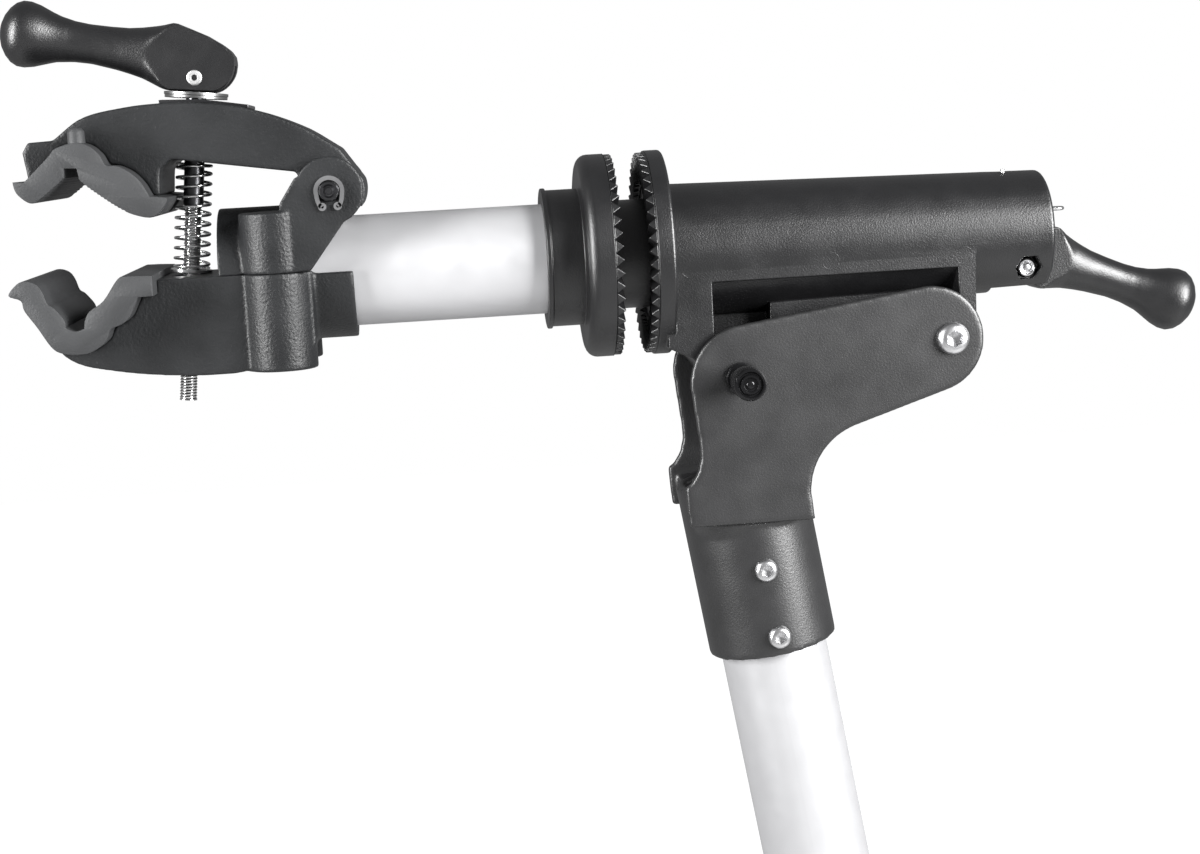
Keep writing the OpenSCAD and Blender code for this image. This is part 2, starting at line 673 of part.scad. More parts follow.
// Directions from the lever's pin between which its hub is slotted for the draw bar
tongue_cut_from = 60;
tongue_cut_to = 218;
draw_bar_r = 5;
draw_head_r = 9;
draw_head_h = 3;
cap_x = 112;
cap_t = 6;
spindle_wall = 3;
module on_rear() { on_arm() translate([rear_pin_x, 0, -rear_pin_drop]) children(); }
crank = [-crank_r * sin(crank_turn / 2), crank_r * cos(crank_turn / 2)];
module rear_lever_pin() {
    color("silver") on_rear() difference() {
        bar_y(rear_pin_r, -rear_pin_half, rear_pin_half);
        bar_y(rear_pin_r * 0.6, -rear_pin_half - over, -rear_pin_half + over);
    }
}
module rear_lever() {
    color("#1b1b1c") on_rear() difference() {
        rotate([0, rear_lever_turn, 0]) mirror([1, 0, 0]) lever_body();
        bar_y(rear_pin_r + run_gap, -hub_w, hub_w);
        translate([crank[0], 0, crank[1]]) bar_y(crank_pin_r + seat_gap, -hub_w, hub_w);
        difference() {
            slab(2 * (tongue_half + slide_gap), concat([[0, 0]], arc(0, 0, 2 * crank_r, tongue_cut_from, tongue_cut_to, 8)));
            bar_y(rear_pin_r + over, -hub_w, hub_w);
        }
    }
}
module rear_crank_pin() {
    color("silver") on_rear() translate([crank[0], 0, crank[1]])
        bar_y(crank_pin_r, -hub_w / 2 + over, hub_w / 2 - over);
}
module draw_bar() {
    eye_x = rear_pin_x + crank[0];
    eye_z = -rear_pin_drop + (crank[1] + crank_r) / 2;
    eye_tall = (crank_r - crank[1]) / 2 + crank_pin_r + slide_gap;
    color("silver") on_arm() {
        bar_x(draw_head_r, cap_x - draw_head_h - slide_gap, cap_x - slide_gap);
        bar_x(draw_bar_r, cap_x - slide_gap - over, rear_bore_x + over);
        difference() {
            block(rear_bore_x, eye_x + crank_r / 2, -tongue_half, tongue_half,
                eye_z - tongue_h / 2, eye_z + tongue_h / 2);
            block(eye_x - crank_pin_r - slide_gap, eye_x + crank_pin_r + slide_gap,
                -2 * tongue_half, 2 * tongue_half, eye_z - eye_tall, eye_z + eye_tall);
        }
    }
}
module arm_spindle() {
    color("#2b2b2d") on_arm() turned([
        [spindle_r - spindle_wall, front_face_x], [spindle_r, front_face_x],
        [spindle_r, cap_x + cap_t], [draw_bar_r + run_gap, cap_x + cap_t],
        [draw_bar_r + run_gap, cap_x], [spindle_r - spindle_wall, cap_x]
    ]);
}

// Bent wire: its tip stands out of the barrel, and its loop out of the barrel's end
wire_half = 2.5;
wire_z = 7;
wire_top = 22;
wire_end = 166;
wire_rear_x = 147;
module release_wire() {
    loop_x = wire_end - wire_half - wire_r;
    color("silver") on_arm() {
        translate([wire_x, -wire_half, wire_z]) {
            cylinder(r = wire_r, h = wire_top - wire_z);
            sphere(r = wire_r, $fn = 24);
        }
        translate([0, -wire_half, wire_z]) bar_x(wire_r, wire_x, loop_x);
        translate([0, wire_half, wire_z]) bar_x(wire_r, wire_rear_x, loop_x);
        translate([loop_x, 0, wire_z]) rotate([0, 0, -90]) rotate_extrude(angle = 180)
            translate([wire_half, 0]) circle(r = wire_r, $fn = 24);
    }
}

// Arm tube, from the disc's sleeve into the clamp's castings
tube_front = -127;
module arm_tube() {
    color("silver") on_arm() difference() {
        bar_x(tube_r, tube_front, front_face_x - seat_gap);
        bar_x(tube_r - tube_wall, tube_front - over, front_face_x + over);
    }
}

// Clamp castings. Outlines are shares of the jaws' reach, seen from the near side, from the hinge pin
lever_x = -0.429 * jaw_reach;
lever_z = 0.399 * jaw_reach;
jaw_half = jaw_w / 2;
pad_half = pad_w / 2;
parting_z = -0.263 * jaw_reach;
ear_in = jaw_half + slide_gap;
casting_back = -7.9;
casting_front = -38.9;
casting_r = 23.8;
boss_x = -19.5;
boss_y = 19.4;
boss_r = 11.6;
boss_top = -6;
boss_low = -59;
jaw_screw_y = 25.3;
jaw_screw_r = 2;
jaw_screw_head_r = 3.6;
jaw_screw_head_h = 4;
jaw_screw_up = 12;
ring_r = 22.7;
ring_back = 5.9;
nut_r = 6.5;
nut_half = 8;
nut_drop = 86.4;
rod_hole_r = 5.2;
lower_jaw_shares = [
    [-0.985, -0.395], [-0.923, -0.487], [-0.865, -0.529], [-0.768, -0.555], [-0.638, -0.577],
    [-0.474, -0.591], [-0.358, -0.592], [-0.101, -0.555], [-0.079, -0.506], [-0.079, -0.263],
    [-0.592, -0.263], [-0.596, -0.27], [-0.66, -0.275], [-0.7, -0.31], [-0.76, -0.36], [-0.79, -0.41],
    [-0.84, -0.445], [-0.88, -0.445], [-0.925, -0.39]
];
lower_pad_shares = [
    [-1.056, -0.279], [-1.018, -0.298], [-1.009, -0.332], [-0.973, -0.388], [-0.934, -0.454],
    [-0.903, -0.477], [-0.855, -0.485], [-0.805, -0.479], [-0.757, -0.448], [-0.737, -0.408],
    [-0.703, -0.395], [-0.672, -0.37], [-0.642, -0.309], [-0.592, -0.308], [-0.591, -0.241],
    [-0.669, -0.238], [-0.703, -0.246], [-0.754, -0.314], [-0.801, -0.345], [-0.819, -0.377],
    [-0.822, -0.4], [-0.852, -0.408], [-0.882, -0.394], [-0.885, -0.367], [-0.915, -0.327],
    [-0.934, -0.312], [-0.947, -0.273], [-0.965, -0.247], [-0.997, -0.235], [-1.026, -0.243]
];
module tube_bore() {
    translate([0, 0, -clevis_rise])
        bar_x(tube_r + seat_gap, tube_front + clevis_ahead - seat_gap, barrel_back);
}
module jaw_screw_holes(z0, z1, r) {
    for (side = [-1, 1]) translate([boss_x, side * jaw_screw_y, z0]) cylinder(r = r, h = z1 - z0);
}
module bosses(z0, z1) {
    for (side = [-1, 1]) translate([boss_x, side * boss_y, z0]) cylinder(r = boss_r, h = z1 - z0);
}
module lower_jaw() {
    head_z = boss_low + jaw_screw_head_h;
    color("#26282b") on_clevis() difference() {
        union() {
            slab(jaw_w, times(lower_jaw_shares, jaw_reach));
            bosses(boss_low, parting_z);
            difference() {
                translate([0, 0, -clevis_rise]) bar_x(ring_r, casting_back - over, ring_back);
                block(2 * casting_front, 2 * ring_back, -ring_r, ring_r, parting_z - over, ring_r);
            }
        }
        tube_bore();
        slab(2 * jaw_w, shifted(times(lower_pad_shares, jaw_reach), [0, -seat_gap]));
        jaw_screw_holes(2 * boss_low, parting_z + over, jaw_screw_r + seat_gap);
        jaw_screw_holes(2 * boss_low, head_z, jaw_screw_head_r + seat_gap);
        on_rod_here() {
            translate([0, 0, -nut_drop]) {
                bar_y(nut_r + run_gap, -nut_half - slide_gap, nut_half + slide_gap);
                block(-nut_r - run_gap, nut_r + run_gap, -nut_half - slide_gap, nut_half + slide_gap,
                    -2 * nut_drop, 0);
            }
            translate([0, 0, -nut_drop]) cylinder(r = rod_hole_r, h = nut_drop);
        }
    }
}
module lower_pad() {
    color("#3a3c3e") on_clevis() slab(pad_w, times(lower_pad_shares, jaw_reach));
}
ear_back_shares = [0.109, 0.01];
ear_shares = [[-0.183, -0.262], [-0.166, -0.034], [-0.11, 0.05]];
ear_foot_shares = [[0.057, -0.086], [-0.079, -0.262]];
module jaw_bracket() {
    color("#26282b") on_clevis() difference() {
        union() {
            difference() {
                translate([0, 0, -clevis_rise]) bar_x(casting_r, casting_front, casting_back);
                block(2 * casting_front, jaw_reach, -jaw_reach, jaw_reach, -jaw_reach, parting_z + seat_gap);
            }
            bosses(parting_z + seat_gap, boss_top);
            for (side = [-1, 1]) translate([0, side * (ear_in + ear_t / 2), 0]) {
                slab(ear_t, concat(
                    shifted(times(ear_shares, jaw_reach), [0, seat_gap]), [[0, 0]],
                    shifted(times(ear_foot_shares, jaw_reach), [0, seat_gap])
                ));
                bar_y(ear_r, -ear_t / 2, ear_t / 2);
            }
        }
        tube_bore();
        block(casting_front / 2, ear_r + over, -ear_in, ear_in, -clevis_rise + casting_r, ear_r + over);
        bar_y(clevis_pin_r + seat_gap, -2 * jaw_w, 2 * jaw_w);
        jaw_screw_holes(parting_z - over, parting_z + jaw_screw_up, jaw_screw_r + seat_gap);
    }
}
module jaw_screws() {
    color("silver") on_clevis() {
        jaw_screw_holes(boss_low + jaw_screw_head_h, parting_z + jaw_screw_up - over, jaw_screw_r);
        difference() {
            jaw_screw_holes(boss_low + jaw_screw_head_h / 4, boss_low + jaw_screw_head_h, jaw_screw_head_r);
            for (side = [-1, 1]) translate([boss_x, side * jaw_screw_y, boss_low - over])
                cylinder(r = jaw_screw_head_r / 2, h = over + jaw_screw_head_h * hex_deep_share, $fn = 6);
        }
    }
}

// Hinge pin of the upper jaw, with a head on the far side and a clip in its groove on the near side
clip_t = 1;
clip_r = 4.85;
clip_mouth = 4;
pin_tail = 2.4;
pin_head_r = 5;
pin_head_h = 2;
groove_r_share = 0.75;
ear_out = ear_in + ear_t;
module clevis_pin() {
    color("silver") on_clevis() {
        bar_y(pin_head_r, ear_out, ear_out + pin_head_h);
        difference() {
            bar_y(clevis_pin_r, -ear_out - clip_t - pin_tail, ear_out + over);
            difference() {
                bar_y(2 * clevis_pin_r, -ear_out - clip_t - 2 * seat_gap, -ear_out);
                bar_y(groove_r_share * clevis_pin_r, -2 * ear_out, 0);
            }
        }
    }
}
module clevis_clip() {
    color("#3a3a3c") on_clevis() difference() {
        bar_y(clip_r, -ear_out - clip_t - seat_gap, -ear_out - seat_gap);
        bar_y(groove_r_share * clevis_pin_r + seat_gap, -2 * ear_out, 0);
        block(-clip_mouth / 2, clip_mouth / 2, -2 * ear_out, 0, -2 * clip_r, 0);
    }
}

// Upper jaw, its pad and the wear plate on its arch
upper_jaw_shares = [
    [-0.992, 0.179], [-0.972, 0.211], [-0.891, 0.214], [-0.795, 0.28], [-0.663, 0.308], [-0.532, 0.317],
    [-0.402, 0.312], [-0.251, 0.286], [-0.08, 0.218], [0.043, 0.138]
];
jaw_tail_r = 12;
jaw_hub_r = 8.6;
jaw_under_shares = [
    [-0.086, 0.02], [-0.107, 0.068], [-0.492, 0.129], [-0.516, 0.13], [-0.55, 0.1], [-0.558, 0.005],
    [-0.575, -0.01], [-0.65, 0.03], [-0.72, 0.09], [-0.79, 0.15], [-0.845, 0.155], [-0.88, 0.12], [-0.975, 0.055]
];
upper_pad_shares = [
    [-1.01, 0.086], [-0.974, 0.084], [-0.893, 0.159], [-0.865, 0.187], [-0.805, 0.202], [-0.762, 0.192],
    [-0.728, 0.161], [-0.709, 0.125], [-0.676, 0.121], [-0.634, 0.098], [-0.6, 0.061], [-0.578, 0.017],
    [-0.521, 0.01], [-0.529, -0.014], [-0.569, -0.051], [-0.627, -0.042], [-0.684, -0.012], [-0.767, 0.052],
    [-0.797, 0.08], [-0.803, 0.119], [-0.843, 0.121], [-0.846, 0.09], [-0.875, 0.065], [-0.934, 0.021],
    [-0.964, 0.017], [-0.994, 0.041], [-1.006, 0.062]
];
rod_slot_half = 4;
rod_slot_long = 7;
spring_drop = 28.2;
spring_relief_r = 7.8;
post_x = -80.7;
post_y = 28;
post_z_share = 0.19;
post_h = 4.3;
post_r = 2.8;
post_tip_r = 1.5;
module rod_slot(z0, z1) {
    half_run = rod_slot_long - rod_slot_half;
    on_rod_here() {
        for (x = [-half_run, half_run]) translate([x, 0, z0]) cylinder(r = rod_slot_half, h = z1 - z0);
        block(-half_run, half_run, -rod_slot_half, rod_slot_half, z0, z1);
    }
}
module upper_jaw() {
    tail = arc(0, 0, jaw_tail_r, 15, -30, 6);
    hub = arc(0, 0, jaw_hub_r, -30, -180, 12);
    color("#26282b") on_clevis() difference() {
        slab(jaw_w, concat(times(upper_jaw_shares, jaw_reach), tail, hub, times(jaw_under_shares, jaw_reach)));
        slab(2 * jaw_w, shifted(times(upper_pad_shares, jaw_reach), [0, seat_gap]));
        bar_y(clevis_pin_r + run_gap, -jaw_w, jaw_w);
        rod_slot(-2 * spring_drop, lever_z);
        on_rod_here() translate([0, 0, -2 * spring_drop])
            cylinder(r = spring_relief_r, h = spring_drop + seat_gap);
    }
}
module upper_pad() {
    color("#3a3c3e") on_clevis() {
        difference() {
            slab(pad_w, times(upper_pad_shares, jaw_reach));
            on_rod_here() translate([0, 0, -nut_drop])
                cylinder(r = spring_relief_r + 2 * slide_gap, h = nut_drop);
        }
        for (side = [-1, 1]) translate([post_x, side * post_y, post_z_share * jaw_reach])
            cylinder(r1 = post_r, r2 = post_tip_r, h = post_h);
    }
}
saddle_t = 1.2;
saddle_w_share = 0.7;
saddle_shares = [[-0.545, 0.3165], [-0.532, 0.317], [-0.402, 0.312], [-0.251, 0.286]];
module saddle_plate() {
    low = shifted(times(saddle_shares, jaw_reach), [0, seat_gap]);
    color("dimgray") on_clevis() difference() {
        slab(saddle_w_share * jaw_w, concat(low, [for (i = [len(low) - 1:-1:0]) low[i] + [0, saddle_t]]));
        rod_slot(-spring_drop, lever_z);
    }
}

// Rod, cam lever, washers and spring. Down the rod, lengths are from the lever's pin
washer_r = 10.8;
washer_t = 1;
washer_hole_r = 4.1;
cam_gap = 0.15;
lever_pin_r = 2.2;
rod_eye_r = 4.2;
rod_eye_half = 3.4;
rod_sleeve_r = 3.4;
rod_sleeve_end = 43;
rod_end = 110;
spring_washer_r = 7;
spring_washer_t = 1;
spring_foot = 64.7;
spring_washer_hole_r = 4.8;
module cam_washers() {
    color("silver") on_rod() for (i = [0:1]) {
        top = -cam_low - cam_gap - i * washer_t;
        pipe(washer_r - i * washer_t / 4, washer_hole_r, top - washer_t, top);
    }
}
module clamp_rod() {
    color("silver") on_rod() difference() {
        union() {
            translate([0, 0, -rod_end]) cylinder(r = rod_r, h = rod_end);
            bar_y(rod_eye_r, -rod_eye_half, rod_eye_half);
        }
        bar_y(lever_pin_r + seat_gap, -hub_w, hub_w);
    }
}
module rod_sleeve() {
    color("#2a2a2c") on_rod() pipe(rod_sleeve_r, rod_r + seat_gap, -rod_sleeve_end, -rod_eye_r);
}
module lever_pin() { color("silver") on_rod() bar_y(lever_pin_r, -hub_w / 2 + over, hub_w / 2 - over); }
module barrel_nut() {
    color("silver") on_rod() translate([0, 0, -nut_drop]) difference() {
        bar_y(nut_r, -nut_half, nut_half);
        translate([0, 0, -2 * nut_r]) cylinder(r = rod_r + run_gap, h = 4 * nut_r);
    }
}
module spring_washer() {
    color("silver") on_rod()
        pipe(spring_washer_r, spring_washer_hole_r, -spring_foot - spring_washer_t, -spring_foot);
}

// Cam lever: a cam whose rim rises evenly round its pin, a hub and a bulb handle turned about its axis
cam_end = 100;
cam_steps = 16;
hub_flat_share = -0.165;
hub_shares = [
    [0.149, 0.205], [0.073, 0.245], [-0.115, 0.311], [-0.26, 0.293], [-0.312, 0.139], [-0.217, -0.052]
];
handle_shares = [-0.356, 0.1354];
handle_angle = 84;
handle_r = 8.4;
handle_back = 9;
neck_start = 10;
bulb_end_share = 0.82;
bulb_shares = [[0.62, -1.4], [0.68, -1], [0.82, -0.62], [0.95, -0.3]];
lever_slot_half = rod_eye_half + slide_gap;
lever_slot = rod_eye_r + 2 * slide_gap;
function cam_point(a) = let (h = cam_low + cam_rate * a * PI / 180)
    [h * sin(a) + cam_rate * cos(a), -h * cos(a) + cam_rate * sin(a)];
module lever_body() {
    cam = [for (i = [0:cam_steps]) cam_point(cam_end * i / cam_steps)];
    root = handle_shares * lever_len;
    along = root * [-sin(handle_angle), cos(handle_angle)];
    bulb_at = sqrt(pow(lever_len, 2) - pow(norm(root), 2) + pow(along, 2)) - along;
    slab(hub_w, concat([[hub_flat_share * lever_len, -cam_low]], cam, times(hub_shares, lever_len)));
    translate([root[0], 0, root[1]]) rotate([0, -handle_angle, 0]) rotate_extrude() polygon(concat(
        [[0, -handle_back], [neck_r, -handle_back], [handle_r, 0], [neck_r, neck_start]],
        [for (p = bulb_shares) [p[0] * bulb_r, bulb_at + p[1] * bulb_r]],
        [for (p = arc(0, 0, bulb_r, 0, 90, 8)) [p[0], bulb_at + bulb_end_share * p[1]]]
    ));
}
module clamp_lever() {
    color("#1b1b1c") on_rod() difference() {
        lever_body();
        bar_y(lever_pin_r + run_gap, -hub_w, hub_w);
        block(-lever_slot, hub_w, -lever_slot_half, lever_slot_half, -hub_w, lever_slot);
    }
}

// Jaw spring: one wire, each end straight for one wire diameter, then wound round the rod
spring_rings = 8;
spring_sides = 6;
spring_mid_r = spring_r - spring_wire_r;
spring_high = spring_foot - spring_drop;
spring_lead = 2 * spring_wire_r;
spring_pitch = (spring_high - 2 * spring_lead) / spring_turns;
spring_steps = spring_turns * spring_rings;
spring_route = concat(
    [[spring_mid_r, 0, -spring_foot]],
    [for (i = [0:spring_steps]) [
        spring_mid_r * cos(360 * i / spring_rings), spring_mid_r * sin(360 * i / spring_rings),
        -spring_foot + spring_lead + spring_pitch * i / spring_rings
    ]],
    [[spring_mid_r, 0, -spring_drop]]
);
function unit(v) = v / norm(v);
function way(route, i) = unit(route[min(i + 1, len(route) - 1)] - route[max(i - 1, 0)]);
echo(spring_self_gap = norm([0, 0, spring_pitch]) - 2 * spring_wire_r);
module wire_form(route, r) {
    n = len(route);
    m = spring_sides;
    points = [for (i = [0:n - 1]) let (
        t = i == 0 || i == n - 1 ? [0, 0, 1] : way(route, i),
        out = unit([route[i][0], route[i][1], 0]),
        u = unit(out - (out * t) * t), v = cross(t, u)
    ) for (k = [0:m - 1]) route[i] + r * (cos(360 * k / m) * u + sin(360 * k / m) * v)];
    faces = concat(
        [[for (k = [m - 1:-1:0]) k]], [[for (k = [0:m - 1]) (n - 1) * m + k]],
        [for (i = [0:n - 2], k = [0:m - 1]) let (j = (k + 1) % m) each [
            [i * m + k, i * m + j, (i + 1) * m + j], [i * m + k, (i + 1) * m + j, (i + 1) * m + k]
        ]]
    );
    polyhedron(points, [for (f = faces) [for (q = [len(f) - 1:-1:0]) f[q]]]);
}
module jaw_spring() { color("silver") on_rod() wire_form(spring_route, spring_wire_r); }

module leg_left() { leg(1); }
module leg_right() { leg(-1); }
module leg_shoe_left() { leg_shoe(1); }
module leg_shoe_right() { leg_shoe(-1); }
module leg_bolt_left() { leg_bolt(1); }
module leg_bolt_right() { leg_bolt(-1); }
module brace_left() { brace(1); }
module brace_right() { brace(-1); }

mast_lower();
mast_foot();
height_collar();
height_bolt();
height_lever();
leg_collar();
leg_collar_bolts();
leg_collar_knob();
brace_bracket();
brace_bolts();
leg_left();
leg_right();
leg_shoe_left();
leg_shoe_right();
leg_bolt_left();
leg_bolt_right();
brace_left();
brace_right();
mast_upper();
mast_end_bush();
fork_bracket();
socket_screws();
head_pivot_bolt();
lock_pin_sleeve();
lock_pin();
arm_housing();
rear_lever_pin();
rear_lever();
rear_crank_pin();
release_wire();
draw_bar();
arm_spindle();
arm_ratchet();
arm_tube();
lower_jaw();
jaw_bracket();
jaw_screws();
clevis_pin();
clevis_clip();
lower_pad();
barrel_nut();
jaw_spring();
spring_washer();
upper_jaw();
upper_pad();
saddle_plate();
cam_washers();
clamp_rod();
rod_sleeve();
clamp_lever();
lever_pin();
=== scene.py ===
import json
import math

import bmesh
import bpy
from mathutils import Matrix, Vector


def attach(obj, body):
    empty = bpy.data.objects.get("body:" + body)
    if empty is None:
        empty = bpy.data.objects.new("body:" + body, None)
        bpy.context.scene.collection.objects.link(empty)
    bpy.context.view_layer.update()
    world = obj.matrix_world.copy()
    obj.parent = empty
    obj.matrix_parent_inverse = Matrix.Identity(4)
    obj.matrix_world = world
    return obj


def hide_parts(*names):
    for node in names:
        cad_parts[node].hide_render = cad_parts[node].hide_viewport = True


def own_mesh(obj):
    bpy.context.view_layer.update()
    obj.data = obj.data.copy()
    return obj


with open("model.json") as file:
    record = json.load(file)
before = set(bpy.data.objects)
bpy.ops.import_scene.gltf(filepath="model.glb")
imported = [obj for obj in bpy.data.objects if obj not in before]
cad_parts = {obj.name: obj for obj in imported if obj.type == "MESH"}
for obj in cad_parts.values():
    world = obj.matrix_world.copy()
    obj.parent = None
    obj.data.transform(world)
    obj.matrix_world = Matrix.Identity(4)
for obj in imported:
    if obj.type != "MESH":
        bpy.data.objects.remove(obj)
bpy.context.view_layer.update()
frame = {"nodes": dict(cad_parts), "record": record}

# Camera: the photograph's viewpoint, in front of the stand's near side and level with the arm.
# The lens is for a sensor 36 mm wide, and the frame cuts the mast as the photograph does.
camera = bpy.data.objects.new("camera", bpy.data.cameras.new("camera"))
bpy.context.scene.collection.objects.link(camera)
bpy.context.scene.camera = camera
camera.data.lens = 64.5
camera.location = (-0.25268, -0.74935, 1.04193)
camera.rotation_euler = [math.radians(a) for a in (82.2437, 3.1536, -5.1465)]
camera.data.clip_end = 50

# Studio: a white backdrop, a pale floor with the stand's shadow, a key light from the upper left,
# a broad light from the right and a weak one from below. Glossy surfaces see the white dimmed, as
# by the flags round dark parts in product photography, and the floor glows less near the feet.
bpy.context.scene.view_settings.view_transform = "Standard"
seen_in_gloss = 0.2


def sees_white(tree):
    path = tree.nodes.new("ShaderNodeLightPath")
    gloss = tree.nodes.new("ShaderNodeMath")
    gloss.operation = "MULTIPLY"
    gloss.inputs[1].default_value = seen_in_gloss
    tree.links.new(path.outputs["Is Glossy Ray"], gloss.inputs[0])
    share = gloss.outputs[0]
    for ray in ("Is Camera Ray", "Is Transmission Ray"):
        larger = tree.nodes.new("ShaderNodeMath")
        larger.operation = "MAXIMUM"
        tree.links.new(share, larger.inputs[0])
        tree.links.new(path.outputs[ray], larger.inputs[1])
        share = larger.outputs[0]
    return share


def show_white(tree, for_light, for_eye, surface_socket):
    mix = tree.nodes.new("ShaderNodeMixShader")
    tree.links.new(sees_white(tree), mix.inputs["Fac"])
    tree.links.new(for_light, mix.inputs[1])
    tree.links.new(for_eye, mix.inputs[2])
    tree.links.new(mix.outputs[0], surface_socket)


def background(tree, colour, strength):
    node = tree.nodes.new("ShaderNodeBackground")
    node.inputs["Color"].default_value = (*colour, 1)
    node.inputs["Strength"].default_value = strength
    return node.outputs[0]


world = bpy.data.worlds.new("studio")
bpy.context.scene.world = world
world.use_nodes = True
world.node_tree.nodes.clear()
show_white(world.node_tree, background(world.node_tree, (0.9, 0.93, 1), 0.05),
           background(world.node_tree, (1, 1, 1), 1.0),
           world.node_tree.nodes.new("ShaderNodeOutputWorld").inputs["Surface"])


def area_light(name, place, target, wide, high, watts):
    data = bpy.data.lights.new(name, "AREA")
    data.shape = "RECTANGLE"
    data.size = wide
    data.size_y = high
    data.energy = watts
    lamp = bpy.data.objects.new(name, data)
    lamp.location = place
    aim = Vector(target) - Vector(place)
    lamp.rotation_euler = aim.to_track_quat("-Z", "Y").to_euler()
    bpy.context.scene.collection.objects.link(lamp)


head_middle = (-0.2, 0, 0.95)
area_light("left_box", (-1.2, -0.5, 1.22), (-0.3, 0, 1.0), wide=0.32, high=0.8, watts=32)
area_light("right_box", (1.0, -0.95, 1.4), head_middle, wide=0.8, high=1.1, watts=92)
area_light("low_fill", (-0.3, -1.6, 0.3), head_middle, wide=1.0, high=0.5, watts=0.8)

floor_mesh = bpy.data.meshes.new("floor")
floor_half = 6
floor_corners = [(x * floor_half, y * floor_half, 0)
                 for x, y in ((-1, -1), (1, -1), (1, 1), (-1, 1))]
floor_mesh.from_pydata(floor_corners, [], [(0, 1, 2, 3)])
floor = bpy.data.objects.new("floor", floor_mesh)
bpy.context.scene.collection.objects.link(floor)
floor_mat = bpy.data.materials.new("floor")
floor_mat.use_nodes = True
floor_tree = floor_mat.node_tree
floor_shader = floor_tree.nodes["Principled BSDF"]
floor_shader.inputs["Base Color"].default_value = (0.4, 0.4, 0.4, 1)
floor_shader.inputs["Roughness"].default_value = 0.6
floor_place = floor_tree.nodes.new("ShaderNodeTexCoord")
from_stand = floor_tree.nodes.new("ShaderNodeVectorMath")
from_stand.operation = "LENGTH"
floor_tree.links.new(floor_place.outputs["Object"], from_stand.inputs[0])
paling = floor_tree.nodes.new("ShaderNodeMapRange")
for label, value in (("From Min", 0.9), ("From Max", 1.9), ("To Min", 0.4), ("To Max", 1.0)):
    paling.inputs[label].default_value = value
floor_tree.links.new(from_stand.outputs["Value"], paling.inputs["Value"])
glow = floor_tree.nodes.new("ShaderNodeEmission")
glow.inputs["Color"].default_value = (1, 1, 1, 1)
floor_tree.links.new(paling.outputs["Result"], glow.inputs["Strength"])
lit_white = floor_tree.nodes.new("ShaderNodeAddShader")
floor_tree.links.new(glow.outputs[0], lit_white.inputs[0])
floor_tree.links.new(floor_shader.outputs[0], lit_white.inputs[1])
show_white(floor_tree, floor_shader.outputs[0], lit_white.outputs[0],
           floor_tree.nodes["Material Output"].inputs["Surface"])
floor_mesh.materials.append(floor_mat)

# Tubes of the mast, the clamp's arm and the legs: drawn aluminium, anodised to a soft satin. As in
# every finish here, colour, roughness and bump have a fine grain, in the object's own coordinates.
MM = 0.001
slot_of = {entry["node"]: entry["material_slot"] for entry in frame["record"]["subparts"]}
bodies = frame["record"]["behaviour"]["bodies"]
body_of_node = {node: body for body, members in bodies.items() for node in members}
materials = {}


def surface(name, colour, rough, metallic=0.0, grain=1200, bump=0.05, mottle=0.25, specular=0.5,
            rough_vary=0.08):
    mat = bpy.data.materials.new(name)
    mat.use_nodes = True
    nodes, links = mat.node_tree.nodes, mat.node_tree.links
    shader = nodes["Principled BSDF"]
    shader.inputs["Metallic"].default_value = metallic
    shader.inputs["Specular IOR Level"].default_value = specular
    coords = nodes.new("ShaderNodeTexCoord")
    cloud, fine = nodes.new("ShaderNodeTexNoise"), nodes.new("ShaderNodeTexNoise")
    for noise, scale, detail in ((cloud, grain / 18, 4), (fine, grain, 3)):
        noise.inputs["Scale"].default_value = scale
        noise.inputs["Detail"].default_value = detail
        links.new(coords.outputs["Object"], noise.inputs["Vector"])
    tint = nodes.new("ShaderNodeMix")
    tint.data_type = "RGBA"
    for socket, share in ((tint.inputs[6], 1 - mottle), (tint.inputs[7], 1 + mottle)):
        socket.default_value = (*[min(1, c * share) for c in colour], 1)
    links.new(cloud.outputs["Fac"], tint.inputs["Factor"])
    links.new(tint.outputs[2], shader.inputs["Base Color"])
    dull = nodes.new("ShaderNodeMapRange")
    dull.inputs["To Min"].default_value = rough - rough_vary
    dull.inputs["To Max"].default_value = rough + rough_vary
    links.new(cloud.outputs["Fac"], dull.inputs["Value"])
    links.new(dull.outputs["Result"], shader.inputs["Roughness"])
    relief = nodes.new("ShaderNodeBump")
    relief.inputs["Strength"].default_value = bump
    relief.inputs["Distance"].default_value = 0.4 * MM
    links.new(fine.outputs["Fac"], relief.inputs["Height"])
    links.new(relief.outputs["Normal"], shader.inputs["Normal"])
    return mat


def finish(slot, colour, rough, **look):
    materials[slot] = surface(slot, colour, rough, **look)
    for name, node in frame["nodes"].items():
        if slot_of[name] == slot:
            node.data.materials.clear()
            node.data.materials.append(materials[slot])


finish("satin_tube", (0.48, 0.48, 0.49), 0.4, metallic=0.5, grain=2500, bump=0.03, mottle=0.03)

# Fork bracket: a steel tube pressed flat into two plates and powder coated, so its faces run into
# each other softly. It is the node's own shape, remeshed finely and relaxed.
finish("bracket_paint", (0.012, 0.012, 0.0125), 0.4, grain=1500, bump=0.2, specular=0.65)


def stands_for(piece, node_name):
    piece.data.materials.clear()
    piece.data.materials.append(materials[slot_of[node_name]])
    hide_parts(node_name)
    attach(piece, body_of_node[node_name])


def finished(piece, node_name, sharp):
    piece.data.shade_smooth()
    piece.data.set_sharp_from_angle(angle=math.radians(sharp))
    stands_for(piece, node_name)


def added(name, mesh):
    piece = bpy.data.objects.new(name, mesh)
    bpy.context.scene.collection.objects.link(piece)
    return piece


def baked(piece):
    shown = piece.evaluated_get(bpy.context.evaluated_depsgraph_get())
    piece.data = bpy.data.meshes.new_from_object(shown)
    piece.modifiers.clear()


